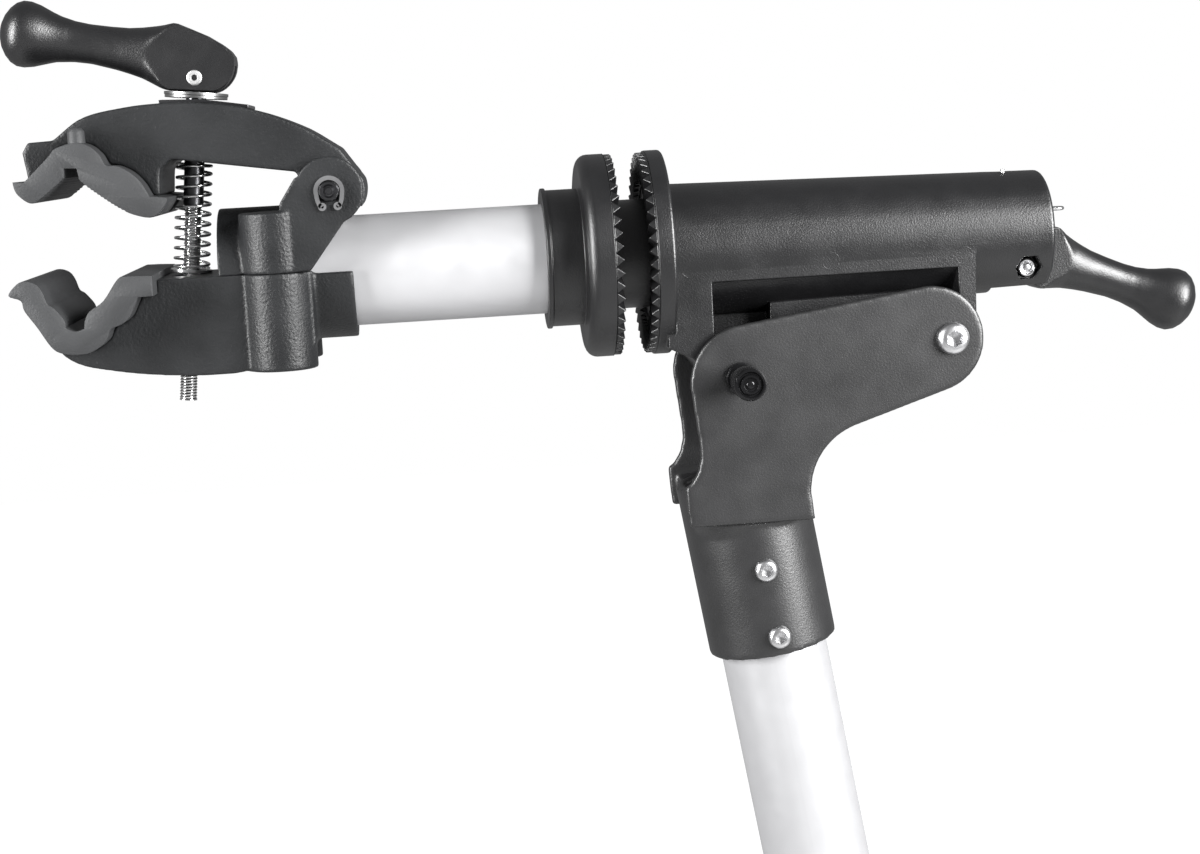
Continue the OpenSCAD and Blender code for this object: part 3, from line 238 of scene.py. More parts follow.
def softened(node_name, voxel, rounds, keep=0.5):
    piece = added(node_name + "_soft", frame["nodes"][node_name].data.copy())
    remesh = piece.modifiers.new("voxels", "REMESH")
    remesh.mode = "VOXEL"
    remesh.voxel_size = voxel
    smooth = piece.modifiers.new("relax", "SMOOTH")
    smooth.factor = 0.5
    smooth.iterations = rounds
    thin = piece.modifiers.new("thin", "DECIMATE")
    thin.ratio = keep
    baked(piece)
    finished(piece, node_name, sharp=60)
    return piece


softened("fork_bracket", voxel=0.8 * MM, rounds=6)

# Jaw castings: aluminium, cast and painted black with a coarse skin. The back of each jaw runs as
# one even curve, so the flats between the outline's points are filled to a smooth line.
finish("jaw_paint", (0.0105, 0.011, 0.0117), 0.44, grain=1100, bump=0.55, mottle=0.5, specular=0.33)
upper_casting = softened("upper_jaw", voxel=0.55 * MM, rounds=7)
lower_casting = softened("lower_jaw", voxel=0.6 * MM, rounds=7)
softened("jaw_bracket", voxel=0.55 * MM, rounds=5)

# Frames in millimetres: the arm's axis at the toothed gap, and the clamp's hinge pin.
arm_at = Matrix.Translation((-187.51, 0, 1000))
clevis_at = arm_at @ Matrix.Translation((-91.2, 0, 28.3))
to_metres = Matrix.Scale(MM, 4)


def through(start, leaving, end, arriving, u):
    return ((2 * u ** 3 - 3 * u ** 2 + 1) * start + (u ** 3 - 2 * u ** 2 + u) * leaving
            + (3 * u ** 2 - 2 * u ** 3) * end + (u ** 3 - u ** 2) * arriving)


def arched(piece, table, sign, reach=5, beyond=2):
    forward = to_metres @ clevis_at
    inverse = forward.inverted()
    xs = [p[0] for p in table]
    zs = [p[1] for p in table]
    slopes = []
    for i in range(len(xs)):
        a, b = max(i - 1, 0), min(i + 1, len(xs) - 1)
        slopes.append((zs[b] - zs[a]) / (xs[b] - xs[a]))
    for v in piece.data.vertices:
        p = inverse @ v.co
        if not xs[0] < p.x < xs[-1]:
            continue
        i = max(k for k in range(len(xs) - 1) if xs[k] <= p.x)
        width = xs[i + 1] - xs[i]
        u = (p.x - xs[i]) / width
        flat = zs[i] + (zs[i + 1] - zs[i]) * u
        bent = through(zs[i], width * slopes[i], zs[i + 1], width * slopes[i + 1], u)
        depth = sign * (flat - p.z)
        weight = max(0.0, min(1.0, 1 - depth / reach))
        if depth > -beyond:
            p.z += (bent - flat) * weight
            v.co = forward @ p


upper_back = [
    (-89.1, 21.4), (-79.5, 28.0), (-66.3, 30.8), (-53.2, 31.7), (-40.2, 31.2), (-25.1, 28.6),
    (-8, 21.8), (4.3, 13.8)]
lower_back = [
    (-98.5, -39.5), (-92.3, -48.7), (-86.5, -52.9), (-76.8, -55.5), (-63.8, -57.7),
    (-47.4, -59.1), (-35.8, -59.2)]
arched(upper_casting, upper_back, 1)
arched(lower_casting, lower_back, -1)

# Toothed coupling, arm housing and the stand's collars: moulded in black nylon. Each is its node's
# own shape with flat faces joined and its edges rolled over, as the mould leaves them. The edges
# keep their full width between the coupling's teeth.
finish("black_plastic", (0.0055, 0.0055, 0.006), 0.36, grain=1900, bump=0.25, specular=0.6)


def rounded(node_name, width, segments=3, angle=32, flat_within=0.7):
    piece = added(node_name + "_rounded", frame["nodes"][node_name].data.copy())
    mesh = bmesh.new()
    mesh.from_mesh(piece.data)
    bmesh.ops.remove_doubles(mesh, verts=mesh.verts, dist=0.01 * MM)
    bmesh.ops.dissolve_limit(mesh, angle_limit=math.radians(flat_within), verts=mesh.verts,
                             edges=mesh.edges)
    mesh.to_mesh(piece.data)
    mesh.free()
    bevel = piece.modifiers.new("edges", "BEVEL")
    bevel.width = width
    bevel.segments = segments
    bevel.limit_method = "ANGLE"
    bevel.angle_limit = math.radians(angle)
    bevel.use_clamp_overlap = not node_name.startswith("arm_")
    weighted = piece.modifiers.new("normals", "WEIGHTED_NORMAL")
    weighted.weight = 70
    piece.data.shade_smooth()
    baked(piece)
    stands_for(piece, node_name)
    return piece


for name, width in (("arm_ratchet", 0.35), ("arm_housing", 0.5), ("height_collar", 0.8),
                    ("leg_collar", 0.8), ("brace_bracket", 0.8), ("height_lever", 1.0),
                    ("leg_collar_knob", 1.0)):
    rounded(name, width * MM)

# Ejector marks: three fine raised rings that the mould left along the housing's side. They follow
# the flank, which is the flat web or the barrel's round, whichever stands out further.


# A skin over rings of points, closed at both ends unless cap is off.
def ring_mesh(name, rings, cap=True):
    count = len(rings[0])
    verts = [p for ring in rings for p in ring]
    faces = []
    for i in range(len(rings) - 1):
        for j in range(count):
            k = (j + 1) % count
            faces.append((i * count + j, i * count + k, (i + 1) * count + k, (i + 1) * count + j))
    if cap:
        faces.append(tuple(range(count - 1, -1, -1)))
        faces.append(tuple((len(rings) - 1) * count + j for j in range(count)))
    mesh = bpy.data.meshes.new(name)
    mesh.from_pydata(verts, [], faces)
    solid = bmesh.new()
    solid.from_mesh(mesh)
    bmesh.ops.recalc_face_normals(solid, faces=solid.faces)
    solid.to_mesh(mesh)
    solid.free()
    return added(name, mesh)


def joined(piece, others):
    whole = bmesh.new()
    whole.from_mesh(piece.data)
    for other in others:
        whole.from_mesh(other.data)
        bpy.data.objects.remove(other)
    whole.to_mesh(piece.data)
    whole.free()


def parts_mesh(name, parts):
    made = []
    for rings, loop in parts:
        part = ring_mesh(name + "_part", rings + [rings[0]] if loop else rings, cap=not loop)
        if loop:
            weld = bmesh.new()
            weld.from_mesh(part.data)
            bmesh.ops.remove_doubles(weld, verts=weld.verts, dist=1e-7)
            bmesh.ops.recalc_face_normals(weld, faces=weld.faces)
            weld.to_mesh(part.data)
            weld.free()
        made.append(part)
    piece = added(name, bpy.data.meshes.new(name))
    joined(piece, made)
    return piece


# Places along and above the arm's axis, then (radius, lift over the flank) round a mark's section.
mark_places = ((28.7, -5.4), (77.3, -5.4), (124.0, -6.3))
mark_section = ((2.72, -0.25), (2.88, 0.07), (3.02, 0.07), (3.2, -0.25))
mark_steps = 40


def flank_half_width(x, z):
    web = 22.5 - 1.8 * (x - 20) / 107.8
    barrel_radius = 23.5 - 2.5 * (x - 14) / 143
    return max(web, math.sqrt(barrel_radius ** 2 - z * z))


mark_rings = []
for mark_x, mark_z in mark_places:
    loop = []
    for j in range(mark_steps):
        a = 2 * math.pi * j / mark_steps
        section = []
        for radius, lift in mark_section:
            x, z = mark_x + radius * math.cos(a), mark_z + radius * math.sin(a)
            section.append(to_metres @ arm_at @ Vector((x, -flank_half_width(x, z) - lift, z)))
        loop.append(section)
    mark_rings.append((loop, True))
marks = parts_mesh("housing_marks", mark_rings)
marks.data.shade_smooth()
marks.data.materials.append(materials["black_plastic"])
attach(marks, "arm_housing")

# Feet: black rubber caps on the mast and on both legs, each moulded in one piece and pushed over
# its tube's end. Their edges are well rounded where they meet the ground.
finish("foot_rubber", (0.03, 0.03, 0.03), 0.7, grain=1500, bump=0.2)
for name in ("mast_foot", "leg_shoe_left", "leg_shoe_right"):
    rounded(name, 1.5 * MM)

# Braces, leg bolts and the height clamp's bolt: flat bars, cut and punched, and hexagon bolts, all
# of zinc plated steel. The bolts join legs, braces and brackets.
finish("plated_steel", (0.66, 0.66, 0.67), 0.3, metallic=1, bump=0.04, mottle=0.1)
for name in ("brace_left", "brace_right", "height_bolt"):
    rounded(name, 0.6 * MM)
for name in ("leg_collar_bolts", "brace_bolts", "leg_bolt_left", "leg_bolt_right"):
    rounded(name, 0.9 * MM)

# Cam levers, both from one mould: a round body lofted along the handle's axis and cut flat on both
# sides of its hub, which leaves the pointed line where the round grip begins. Each turns on a pin.
rod_at = clevis_at @ Matrix.Translation((-42.9, 0, 39.9)) @ Matrix.Rotation(math.radians(6), 4, "Y")
rear_pin_at = arm_at @ Matrix.Translation((147.8, 0, -12.2))
rear_at = rear_pin_at @ Matrix.Rotation(math.radians(27.1), 4, "Y") @ Matrix.Scale(-1, 4, (1, 0, 0))


def blend_along(table, t):
    if t <= table[0][0]:
        return table[0][1]
    for (t0, v0), (t1, v1) in zip(table, table[1:]):
        if t <= t1:
            u = (t - t0) / (t1 - t0)
            return v0 + (v1 - v0) * u
    return table[-1][1]


# Pairs of (place along the handle, measure there): the upper and lower outline, the half width,
# and the power that squares the section.
lever_high = [
    (-33.8, -1.1), (-33.76, 1.0), (-33.3, 3.4), (-31.5, 5.3), (-28.5, 6.9), (-23.9, 8.75),
    (-18.5, 10.1), (-13.4, 11.3), (-11.8, 11.35), (-6.5, 9.7), (-1.3, 8.35), (3, 7.5), (9, 7),
    (16, 6.7), (21, 6.95), (25.5, 7.75)]
lever_low = [
    (-33.8, -1.1), (-33.5, -3.1), (-32.9, -4.9), (-32, -6.4), (-31, -7.6), (-30, -8.5),
    (-29, -9.15), (-28, -9.55), (-27.1, -9.7), (-12.2, -11.2), (-10.2, -10.9), (-3.4, -8.6),
    (1, -7.75), (5.5, -7.1), (14, -6.4), (20, -6.7), (25.8, -7.7)]
lever_half_width = [
    (-33.8, 9.4), (-13, 11), (-8.5, 10.2), (-4.2, 8.55), (0, 7.9), (6, 7.1), (16, 6.6), (21, 6.8),
    (25.5, 7.7)]
bulb = [
    (28, 8.5), (30.1, 9.3), (33, 10.4), (36.1, 11.1), (38.5, 11), (40.6, 10), (42.4, 8.2),
    (43.9, 5.8), (44.9, 3), (45.3, 0.1)]
lever_high += bulb
lever_half_width += bulb
lever_low += [(t, -radius) for t, radius in bulb]
lever_square = [(-33.8, 7), (-13, 6), (-8.5, 2.7), (-4, 2.1), (13, 2)]
lever_stops = [
    -33.75, -33.5, -33.1, -32.5, -31.8, -31, -30, -29, -28, -27.1, -25.5, -23.9, -22, -20, -18.5,
    -16.5, -14.8, -13.4, -12.6, -11.8, -10.8, -9.6, -8.5, -7.4, -6.2, -5.2, -4.2, -3, -1.5, 0]
lever_stops += [1.5 * k for k in range(1, 21)]
lever_stops += [
    31.5, 33, 34.5, 36, 37.3, 38.5, 39.6, 40.6, 41.5, 42.4, 43.2, 43.9, 44.4, 44.8, 45.1, 45.28]
hub_half = 8.5
hub_end = 13
lever_around = 64


def box_mesh(name, place, low_corner, high_corner):
    mesh = bpy.data.meshes.new(name)
    box = bmesh.new()
    bmesh.ops.create_cube(box, size=1)
    for v in box.verts:
        v.co = Vector([(lo if c < 0 else hi) for c, lo, hi in zip(v.co, low_corner, high_corner)])
    bmesh.ops.recalc_face_normals(box, faces=box.faces)
    box.transform(to_metres @ place)
    if place.determinant() < 0:
        bmesh.ops.reverse_faces(box, faces=box.faces)
    box.to_mesh(mesh)
    box.free()
    return added(name, mesh)


def cut_away(piece, cutter):
    cut = piece.modifiers.new("cut", "BOOLEAN")
    cut.operation = "DIFFERENCE"
    cut.object = cutter
    cut.solver = "EXACT"
    baked(piece)
    bpy.data.objects.remove(cutter)


def lever_piece(name, node_name, place, slot_low, slot_high):
    root = Vector((-20.5, 0, 7.9))  # the handle's axis starts here and rises by 6 degrees
    along, up = Vector((-0.9945, 0, 0.1045)), Vector((0.1045, 0, 0.9945))
    rings = []
    for t in lever_stops:
        high, low = blend_along(lever_high, t), blend_along(lever_low, t)
        wide, square = blend_along(lever_half_width, t), blend_along(lever_square, t)
        ring = []
        for j in range(lever_around):
            a = 2 * math.pi * j / lever_around
            c, s = math.cos(a), math.sin(a)
            y = wide * math.copysign(abs(c) ** (2 / square), c)
            z = (high + low) / 2 + (high - low) / 2 * math.copysign(abs(s) ** (2 / square), s)
            y = max(-hub_half, min(hub_half, y)) if t < hub_end else y
            ring.append(to_metres @ place @ (root + along * t + up * z + Vector((0, y, 0))))
        rings.append(ring)
    piece = ring_mesh(name, rings)
    cut_away(piece, box_mesh(name + "_cut", place, slot_low, slot_high))
    finished(piece, node_name, sharp=34)


lever_piece("clamp_lever_grip", "clamp_lever", rod_at, (-4.8, -3.7, -20), (20, 3.7, 4.8))
lever_piece("rear_lever_grip", "rear_lever", rear_at, (-5, -3.3, -7), (20, 3.3, 20))

# Clamp rod: plated steel with a rolled thread down its shank, which shows between the spring's
# turns and below the lower jaw, and an eye for the lever's pin.
finish("bright_steel", (0.78, 0.78, 0.78), 0.2, metallic=1, bump=0.02, mottle=0.05)


def tree_with(name, inputs):
    tree = bpy.data.node_groups.new(name, "GeometryNodeTree")
    tree.interface.new_socket("Geometry", in_out="OUTPUT", socket_type="NodeSocketGeometry")
    tree.interface.new_socket("Geometry", in_out="INPUT", socket_type="NodeSocketGeometry")
    for label in inputs:
        kind = {"Material": "Material", "Piece": "Object", "Turn": "Vector"}.get(label, "Float")
        tree.interface.new_socket(label, in_out="INPUT", socket_type="NodeSocket" + kind)
    return tree, tree.nodes.new("NodeGroupInput").outputs


def step(tree, kind, *values, **settings):
    node = tree.nodes.new(kind)
    for key, value in settings.items():
        setattr(node, key, value)
    for socket, value in zip([i for i in node.inputs if i.enabled], values):
        if isinstance(value, bpy.types.NodeSocket):
            tree.links.new(value, socket)
        elif value is not None:
            socket.default_value = value
    return node.outputs


def sums(tree, operation, *values):
    return step(tree, "ShaderNodeMath", *values, operation=operation)[0]


def close_tree(tree, given, geometry):
    real = step(tree, "GeometryNodeRealizeInstances", geometry)[0]
    painted = tree.nodes.new("GeometryNodeSetMaterial")
    tree.links.new(real, painted.inputs["Geometry"])
    tree.links.new(given["Material"], painted.inputs["Material"])
    tree.links.new(painted.outputs[0], tree.nodes.new("NodeGroupOutput").inputs[0])


def grown(piece, tree, values):
    modifier = piece.modifiers.new(tree.name, "NODES")
    modifier.node_group = tree
    for item in tree.interface.items_tree:
        if item.in_out == "INPUT" and item.name in values:
            modifier[item.identifier] = values[item.name]
    baked(piece)
    solid = bmesh.new()
    solid.from_mesh(piece.data)
    bmesh.ops.recalc_face_normals(solid, faces=solid.faces)
    solid.to_mesh(piece.data)
    solid.free()


def bare_piece(name, points=()):
    mesh = bpy.data.meshes.new(name)
    mesh.from_pydata(list(points), [], [])
    return added(name, mesh)


# The bar's skin sinks by the depth of the groove, which runs round it once for each pitch.
thread_stations = 526  # five on each turn of the thread
thread, given = tree_with("rolled thread",
                          ["Radius", "Depth", "Pitch", "Bottom", "Top", "Material"])
low_end = step(thread, "ShaderNodeCombineXYZ", 0.0, 0.0, given["Bottom"])[0]
high_end = step(thread, "ShaderNodeCombineXYZ", 0.0, 0.0, given["Top"])[0]
shank = thread.nodes.new("GeometryNodeCurvePrimitiveLine")
thread.links.new(low_end, shank.inputs["Start"])
thread.links.new(high_end, shank.inputs["End"])
stations = thread.nodes.new("GeometryNodeResampleCurve")
stations.inputs["Count"].default_value = thread_stations
thread.links.new(shank.outputs[0], stations.inputs["Curve"])
round_bar = thread.nodes.new("GeometryNodeCurvePrimitiveCircle")
round_bar.inputs["Resolution"].default_value = 24
thread.links.new(given["Radius"], round_bar.inputs["Radius"])
bar = thread.nodes.new("GeometryNodeCurveToMesh")
bar.inputs["Fill Caps"].default_value = True
thread.links.new(stations.outputs[0], bar.inputs["Curve"])
thread.links.new(round_bar.outputs[0], bar.inputs["Profile Curve"])
x, y, z = step(thread, "ShaderNodeSeparateXYZ", step(thread, "GeometryNodeInputPosition")[0])[:3]
around = sums(thread, "DIVIDE", sums(thread, "ARCTAN2", y, x), 2 * math.pi)
wound = sums(thread, "SUBTRACT", sums(thread, "DIVIDE", z, given["Pitch"]), around)
zigzag = sums(thread, "PINGPONG", sums(thread, "MULTIPLY", wound, 2.0), 1.0)
groove = sums(thread, "SUBTRACT", 1.0, zigzag)
from_low = sums(thread, "DIVIDE", sums(thread, "SUBTRACT", z, given["Bottom"]), given["Pitch"])
from_high = sums(thread, "DIVIDE", sums(thread, "SUBTRACT", given["Top"], z), given["Pitch"])
run_out = sums(thread, "MINIMUM", sums(thread, "MINIMUM", from_low, from_high), 1.0)
sink = sums(thread, "MULTIPLY", sums(thread, "MULTIPLY", groove, given["Depth"]), run_out)
share = sums(thread, "SUBTRACT", 1.0, sums(thread, "DIVIDE", sink, given["Radius"]))
place = step(thread, "ShaderNodeCombineXYZ", sums(thread, "MULTIPLY", x, share),
             sums(thread, "MULTIPLY", y, share), z)[0]
cut_bar = thread.nodes.new("GeometryNodeSetPosition")
thread.links.new(bar.outputs[0], cut_bar.inputs["Geometry"])
thread.links.new(place, cut_bar.inputs["Position"])
close_tree(thread, given, cut_bar.outputs[0])

rod = bare_piece("clamp_rod_thread")
grown(rod, thread, {"Radius": 3.0, "Depth": 0.42, "Pitch": 1.0, "Bottom": -110.0, "Top": -5.0,
                    "Material": materials["bright_steel"]})
rod.data.transform(to_metres @ rod_at)
eye_radius, eye_half, eye_around = 4.2, 3.4, 40
eye_round = [2 * math.pi * j / eye_around for j in range(eye_around)]
eye_rings = [[to_metres @ rod_at @ Vector((eye_radius * math.cos(a), y, eye_radius * math.sin(a)))
              for a in eye_round] for y in (-eye_half, eye_half)]
joined(rod, [ring_mesh("clamp_rod_eye", eye_rings)])
finished(rod, "clamp_rod", sharp=50)

# Jaw spring: one wire of round section wound round the rod, its ends closed and ground flat. A line
# is wound in even turns, closed at both ends, then thickened.
coil_stations = 323  # 28 on each turn of the wire
coil, given = tree_with("coil", ["Turns", "Closed", "Radius", "Wire", "Bottom", "Top", "Material"])
straight = coil.nodes.new("GeometryNodeCurvePrimitiveLine")
stations = coil.nodes.new("GeometryNodeResampleCurve")
stations.inputs["Count"].default_value = coil_stations
coil.links.new(straight.outputs[0], stations.inputs["Curve"])
turn = sums(coil, "MULTIPLY", step(coil, "GeometryNodeSplineParameter")[0], given["Turns"])
free_turns = sums(coil, "SUBTRACT", given["Turns"], sums(coil, "MULTIPLY", given["Closed"], 2.0))
height = sums(coil, "SUBTRACT", sums(coil, "SUBTRACT", given["Top"], given["Bottom"]),
              sums(coil, "MULTIPLY", given["Wire"], 4.4))
rise = sums(coil, "DIVIDE", height, free_turns)
flat_rise = sums(coil, "MULTIPLY", given["Wire"], 1.2)
opened = sums(coil, "MAXIMUM", sums(coil, "SUBTRACT", turn, given["Closed"]), 0.0)
last = sums(coil, "MAXIMUM", sums(coil, "SUBTRACT", opened, free_turns), 0.0)
flat = sums(coil, "ADD", sums(coil, "MINIMUM", turn, given["Closed"]), last)
wire_z = sums(coil, "ADD", sums(coil, "ADD", given["Bottom"], given["Wire"]),
              sums(coil, "ADD", sums(coil, "MULTIPLY", flat, flat_rise),
                   sums(coil, "MULTIPLY", sums(coil, "MINIMUM", opened, free_turns), rise)))
angle = sums(coil, "MULTIPLY", turn, 2 * math.pi)
wire_x = sums(coil, "MULTIPLY", sums(coil, "COSINE", angle), given["Radius"])
wire_y = sums(coil, "MULTIPLY", sums(coil, "SINE", angle), given["Radius"])
wire_at = step(coil, "ShaderNodeCombineXYZ", wire_x, wire_y, wire_z)[0]
wound = coil.nodes.new("GeometryNodeSetPosition")
coil.links.new(stations.outputs[0], wound.inputs["Geometry"])
coil.links.new(wire_at, wound.inputs["Position"])
wire_round = coil.nodes.new("GeometryNodeCurvePrimitiveCircle")
wire_round.inputs["Resolution"].default_value = 10
coil.links.new(given["Wire"], wire_round.inputs["Radius"])
wire = coil.nodes.new("GeometryNodeCurveToMesh")
wire.inputs["Fill Caps"].default_value = True
coil.links.new(wound.outputs[0], wire.inputs["Curve"])
coil.links.new(wire_round.outputs[0], wire.inputs["Profile Curve"])
close_tree(coil, given, wire.outputs[0])

spring_low, spring_high = -64.7, -28.2
spring = bare_piece("jaw_spring_coil")
grown(spring, coil, {"Turns": 11.5, "Closed": 0.75, "Radius": 5.8, "Wire": 0.5,
                     "Bottom": spring_low, "Top": spring_high,
                     "Material": materials["bright_steel"]})
spring.data.transform(to_metres @ rod_at)
finished(spring, "jaw_spring", sharp=70)
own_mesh(spring)

# Washers under the cam, in dull grey steel darker than the rod's, and the wear plate on the jaw's
# back, a bent strip of dark steel. The spindle seen between the toothed discs is as black as the
# mouldings.
finish("dark_steel", (0.11, 0.11, 0.115), 0.3, metallic=1, grain=1400, bump=0.06)
frame["nodes"]["arm_spindle"].data.materials[0] = materials["black_plastic"]
washers = rounded("cam_washers", 0.15 * MM)
washers.data.materials[0] = surface("washer_steel", (0.3, 0.3, 0.3), 0.34, metallic=1, mottle=0.3)
rounded("saddle_plate", 0.25 * MM)

# Pivot bolt of the head with its nut on the far side: a button head with a hexagon socket, turned
# and zinc plated. It holds the arm housing between the bracket's plates.
to_near = Matrix.Rotation(math.radians(90), 4, "X")
pivot_at = arm_at @ Matrix.Translation((117.8, 0, -34.2)) @ to_near


# A profile is a list of (radius, height) along a piece's own axis. A third number makes that ring
# a hexagon with its flats at the radius or, when negative, a knurl with so many ridges.
def turned(place, profile, around=48, knurl=0.12):
    rings = []
    for entry in profile:
        r, z = entry[:2]
        sides = entry[2] if len(entry) > 2 else 0
        ring = []
        for j in range(around):
            a = 2 * math.pi * j / around
            rr = r
            if sides > 0:
                rr = r / math.cos((a + math.pi / sides) % (2 * math.pi / sides) - math.pi / sides)
            elif sides < 0:
                rr = r + knurl * math.cos(-sides * a)
            ring.append(to_metres @ place @ Vector((rr * math.cos(a), rr * math.sin(a), z)))
        rings.append(ring)
    return rings


# Radii of shank and head, the head's height, and the levels of its underside and the shank's end.
def button_profile(shank, head, high, base, deep):
    return [(0.01, deep), (shank * 0.9, deep), (shank, deep + 0.4), (shank, base),
            (head * 0.98, base), (head, base + 0.12 * high), (head, base + 0.3 * high),
            (head * 0.955, base + 0.55 * high), (head * 0.86, base + 0.78 * high),
            (head * 0.73, base + 0.92 * high), (head * 0.6, base + high),
            (head * 0.46, base + high, 6), (head * 0.44, base + 0.93 * high, 6),
            (head * 0.43, base + 0.3 * high, 6), (head * 0.2, base + 0.22 * high),
            (0.01, base + 0.15 * high)]


nut_profile = [(4.0, -26), (6.06, -26, 6), (6.06, -30.4, 6), (5.7, -31), (4.0, -31)]
bolt = parts_mesh("pivot_bolt", [(turned(pivot_at, button_profile(4, 5.6, 3.3, 26, -31)), False),
                                 (turned(pivot_at, nut_profile), True)])
finished(bolt, "head_pivot_bolt", sharp=35)

# Socket screws: two like button screws of zinc plated steel, one above the other. They go through
# the bracket's socket into the mast and hold it there.
alike, given = tree_with("like pieces", ["Piece", "Turn", "Material"])
model = step(alike, "GeometryNodeObjectInfo", given["Piece"])
row = alike.nodes.new("GeometryNodeInstanceOnPoints")
alike.links.new(given["Geometry"], row.inputs["Points"])
alike.links.new(model["Geometry"], row.inputs["Instance"])
turned_by = step(alike, "FunctionNodeEulerToRotation", given["Turn"])[0]
alike.links.new(turned_by, row.inputs["Rotation"])
close_tree(alike, given, row.outputs[0])


def like_pieces(name, profile, places, turn, material, around=48):
    model = ring_mesh(name + "_model", turned(Matrix.Identity(4), profile, around=around))
    row = bare_piece(name, places)
    grown(row, alike, {"Piece": model, "Turn": tuple(turn.to_euler()), "Material": material})
    bpy.data.objects.remove(model)
    return row


mast_at = Matrix.Translation((-154.81, 0, 1000)) @ Matrix.Rotation(math.radians(-8.8), 4, "Y")
screw_depths = (112.6, 136.9)
screw_places = [to_metres @ mast_at @ Vector((0, 0, -depth)) for depth in screw_depths]
screws = like_pieces("socket_button_screws", button_profile(2.5, 4, 2.3, 22.75, 15), screw_places,
                     mast_at @ to_near, materials["plated_steel"])
finished(screws, "socket_screws", sharp=35)

# Pull pin: a knurled knob with rings on its end, on a threaded sleeve with a thin knurled ring,
# both in glossy black.
lock_at = arm_at @ Matrix.Translation((43.7, 0, -43.2)) @ to_near
knob_profile = [
    (0.01, 23.9), (2.4, 23.9), (2.8, 24.4), (2.8, 44.9), (4.5, 44.9), (4.5, 37.1), (5.0, 36.9),
    (5.35, 37.2), (5.4, 37.5, -48), (5.45, 41, -48), (5.4, 44.2, -48), (5.15, 44.5), (5.1, 45.0),
    (5.5, 45.3), (5.55, 46.6), (5.35, 47.3), (4.9, 47.85), (4.5, 47.9), (4.25, 47.5), (4.0, 46.9),
    (3.6, 46.9), (3.4, 47.5), (3.1, 47.8), (2.6, 47.8), (2.35, 47.5), (2.1, 47.1), (1.5, 47.1),
    (1.3, 47.4), (0.8, 47.6), (0.01, 47.6)]
knob = parts_mesh("lock_pull_pin", [(turned(lock_at, knob_profile, around=144), False)])
finished(knob, "lock_pin", sharp=40)
sleeve_thread = [(4.2 - 0.35 * (k % 2), 28.9 + 0.5 * k) for k in range(11)]
sleeve_profile = [
    (2.86, 22.9), (4.2, 22.9), (4.2, 26), (5.2, 26), (5.3, 26.2, -40), (5.3, 28.1, -40),
    (4.9, 28.6), (4.2, 28.6), *sleeve_thread, (3.9, 34.4), (2.86, 34.4)]
sleeve = parts_mesh("lock_sleeve", [(turned(lock_at, sleeve_profile), True)])
finished(sleeve, "lock_pin_sleeve", sharp=35)
gloss_black = surface("gloss_black", (0.014, 0.014, 0.015), 0.13, metallic=0.6, grain=1900,
                      bump=0.03, rough_vary=0.03)
for part in (knob, sleeve):
    part.data.materials[0] = gloss_black

# Clamp hinge: a turned steel pin, dark at its end, with a groove round it, and the thin clip of
# plated steel that is sprung into the groove.
clevis_near = clevis_at @ to_near
hinge_profile = [
    (0.01, -31.3), (3.6, -31.3), (4.6, -31.0), (5, -30.4), (5, -29.3), (3.3, -29.3), (3.3, 29.28),
    (2.5, 29.4), (2.5, 30.35), (3.3, 30.45), (3.3, 32.2), (2.9, 32.7), (2.3, 32.7), (2.1, 32.3),
    (1.7, 31.9), (1.3, 32.0), (1.1, 32.5), (0.01, 32.6)]
hinge_pin = parts_mesh("clevis_hinge_pin", [(turned(clevis_near, hinge_profile), False)])
finished(hinge_pin, "clevis_pin", sharp=40)


def clip_section(path, half, y0, y1):
    rings = []
    for i, (x, z) in enumerate(path):
        x0, z0 = path[max(i - 1, 0)]
        x1, z1 = path[min(i + 1, len(path) - 1)]
        length = math.hypot(x1 - x0, z1 - z0)
        nx, nz = -(z1 - z0) / length * half, (x1 - x0) / length * half
        corners = ((x + nx, y0, z + nz), (x + nx, y1, z + nz),
                   (x - nx, y1, z - nz), (x - nx, y0, z - nz))
        rings.append([to_metres @ clevis_at @ Vector(corner) for corner in corners])
    return rings


clip_path = [(-2.75, -5.2), (-3.5, -4.3), (-3.9, -3.2), (-4.15, -1.9)]
clip_radius = 4.35
clip_path += [(clip_radius * math.sin(math.radians(a)), clip_radius * math.cos(math.radians(a)))
              for a in range(-102, 103, 6)]
clip_path += [(-x, z) for x, z in reversed(clip_path[:4])]
clip_lug = [(0.55, 29.4), (1.35, 29.4), (1.35, 30.35), (0.55, 30.35)]
lugs_at = [clevis_at @ Matrix.Translation((x, 0, -5.1)) @ to_near for x in (-2.55, 2.55)]
clip_lugs = [(turned(lug_at, clip_lug, around=24), True) for lug_at in lugs_at]
clip_band = (clip_section(clip_path, 0.7, -30.35, -29.4), False)
clip = parts_mesh("clevis_spring_clip", [clip_band, *clip_lugs])
finished(clip, "clevis_clip", sharp=50)
hinge_pin.data.materials[0] = materials["dark_steel"]
clip.data.materials[0] = materials["plated_steel"]

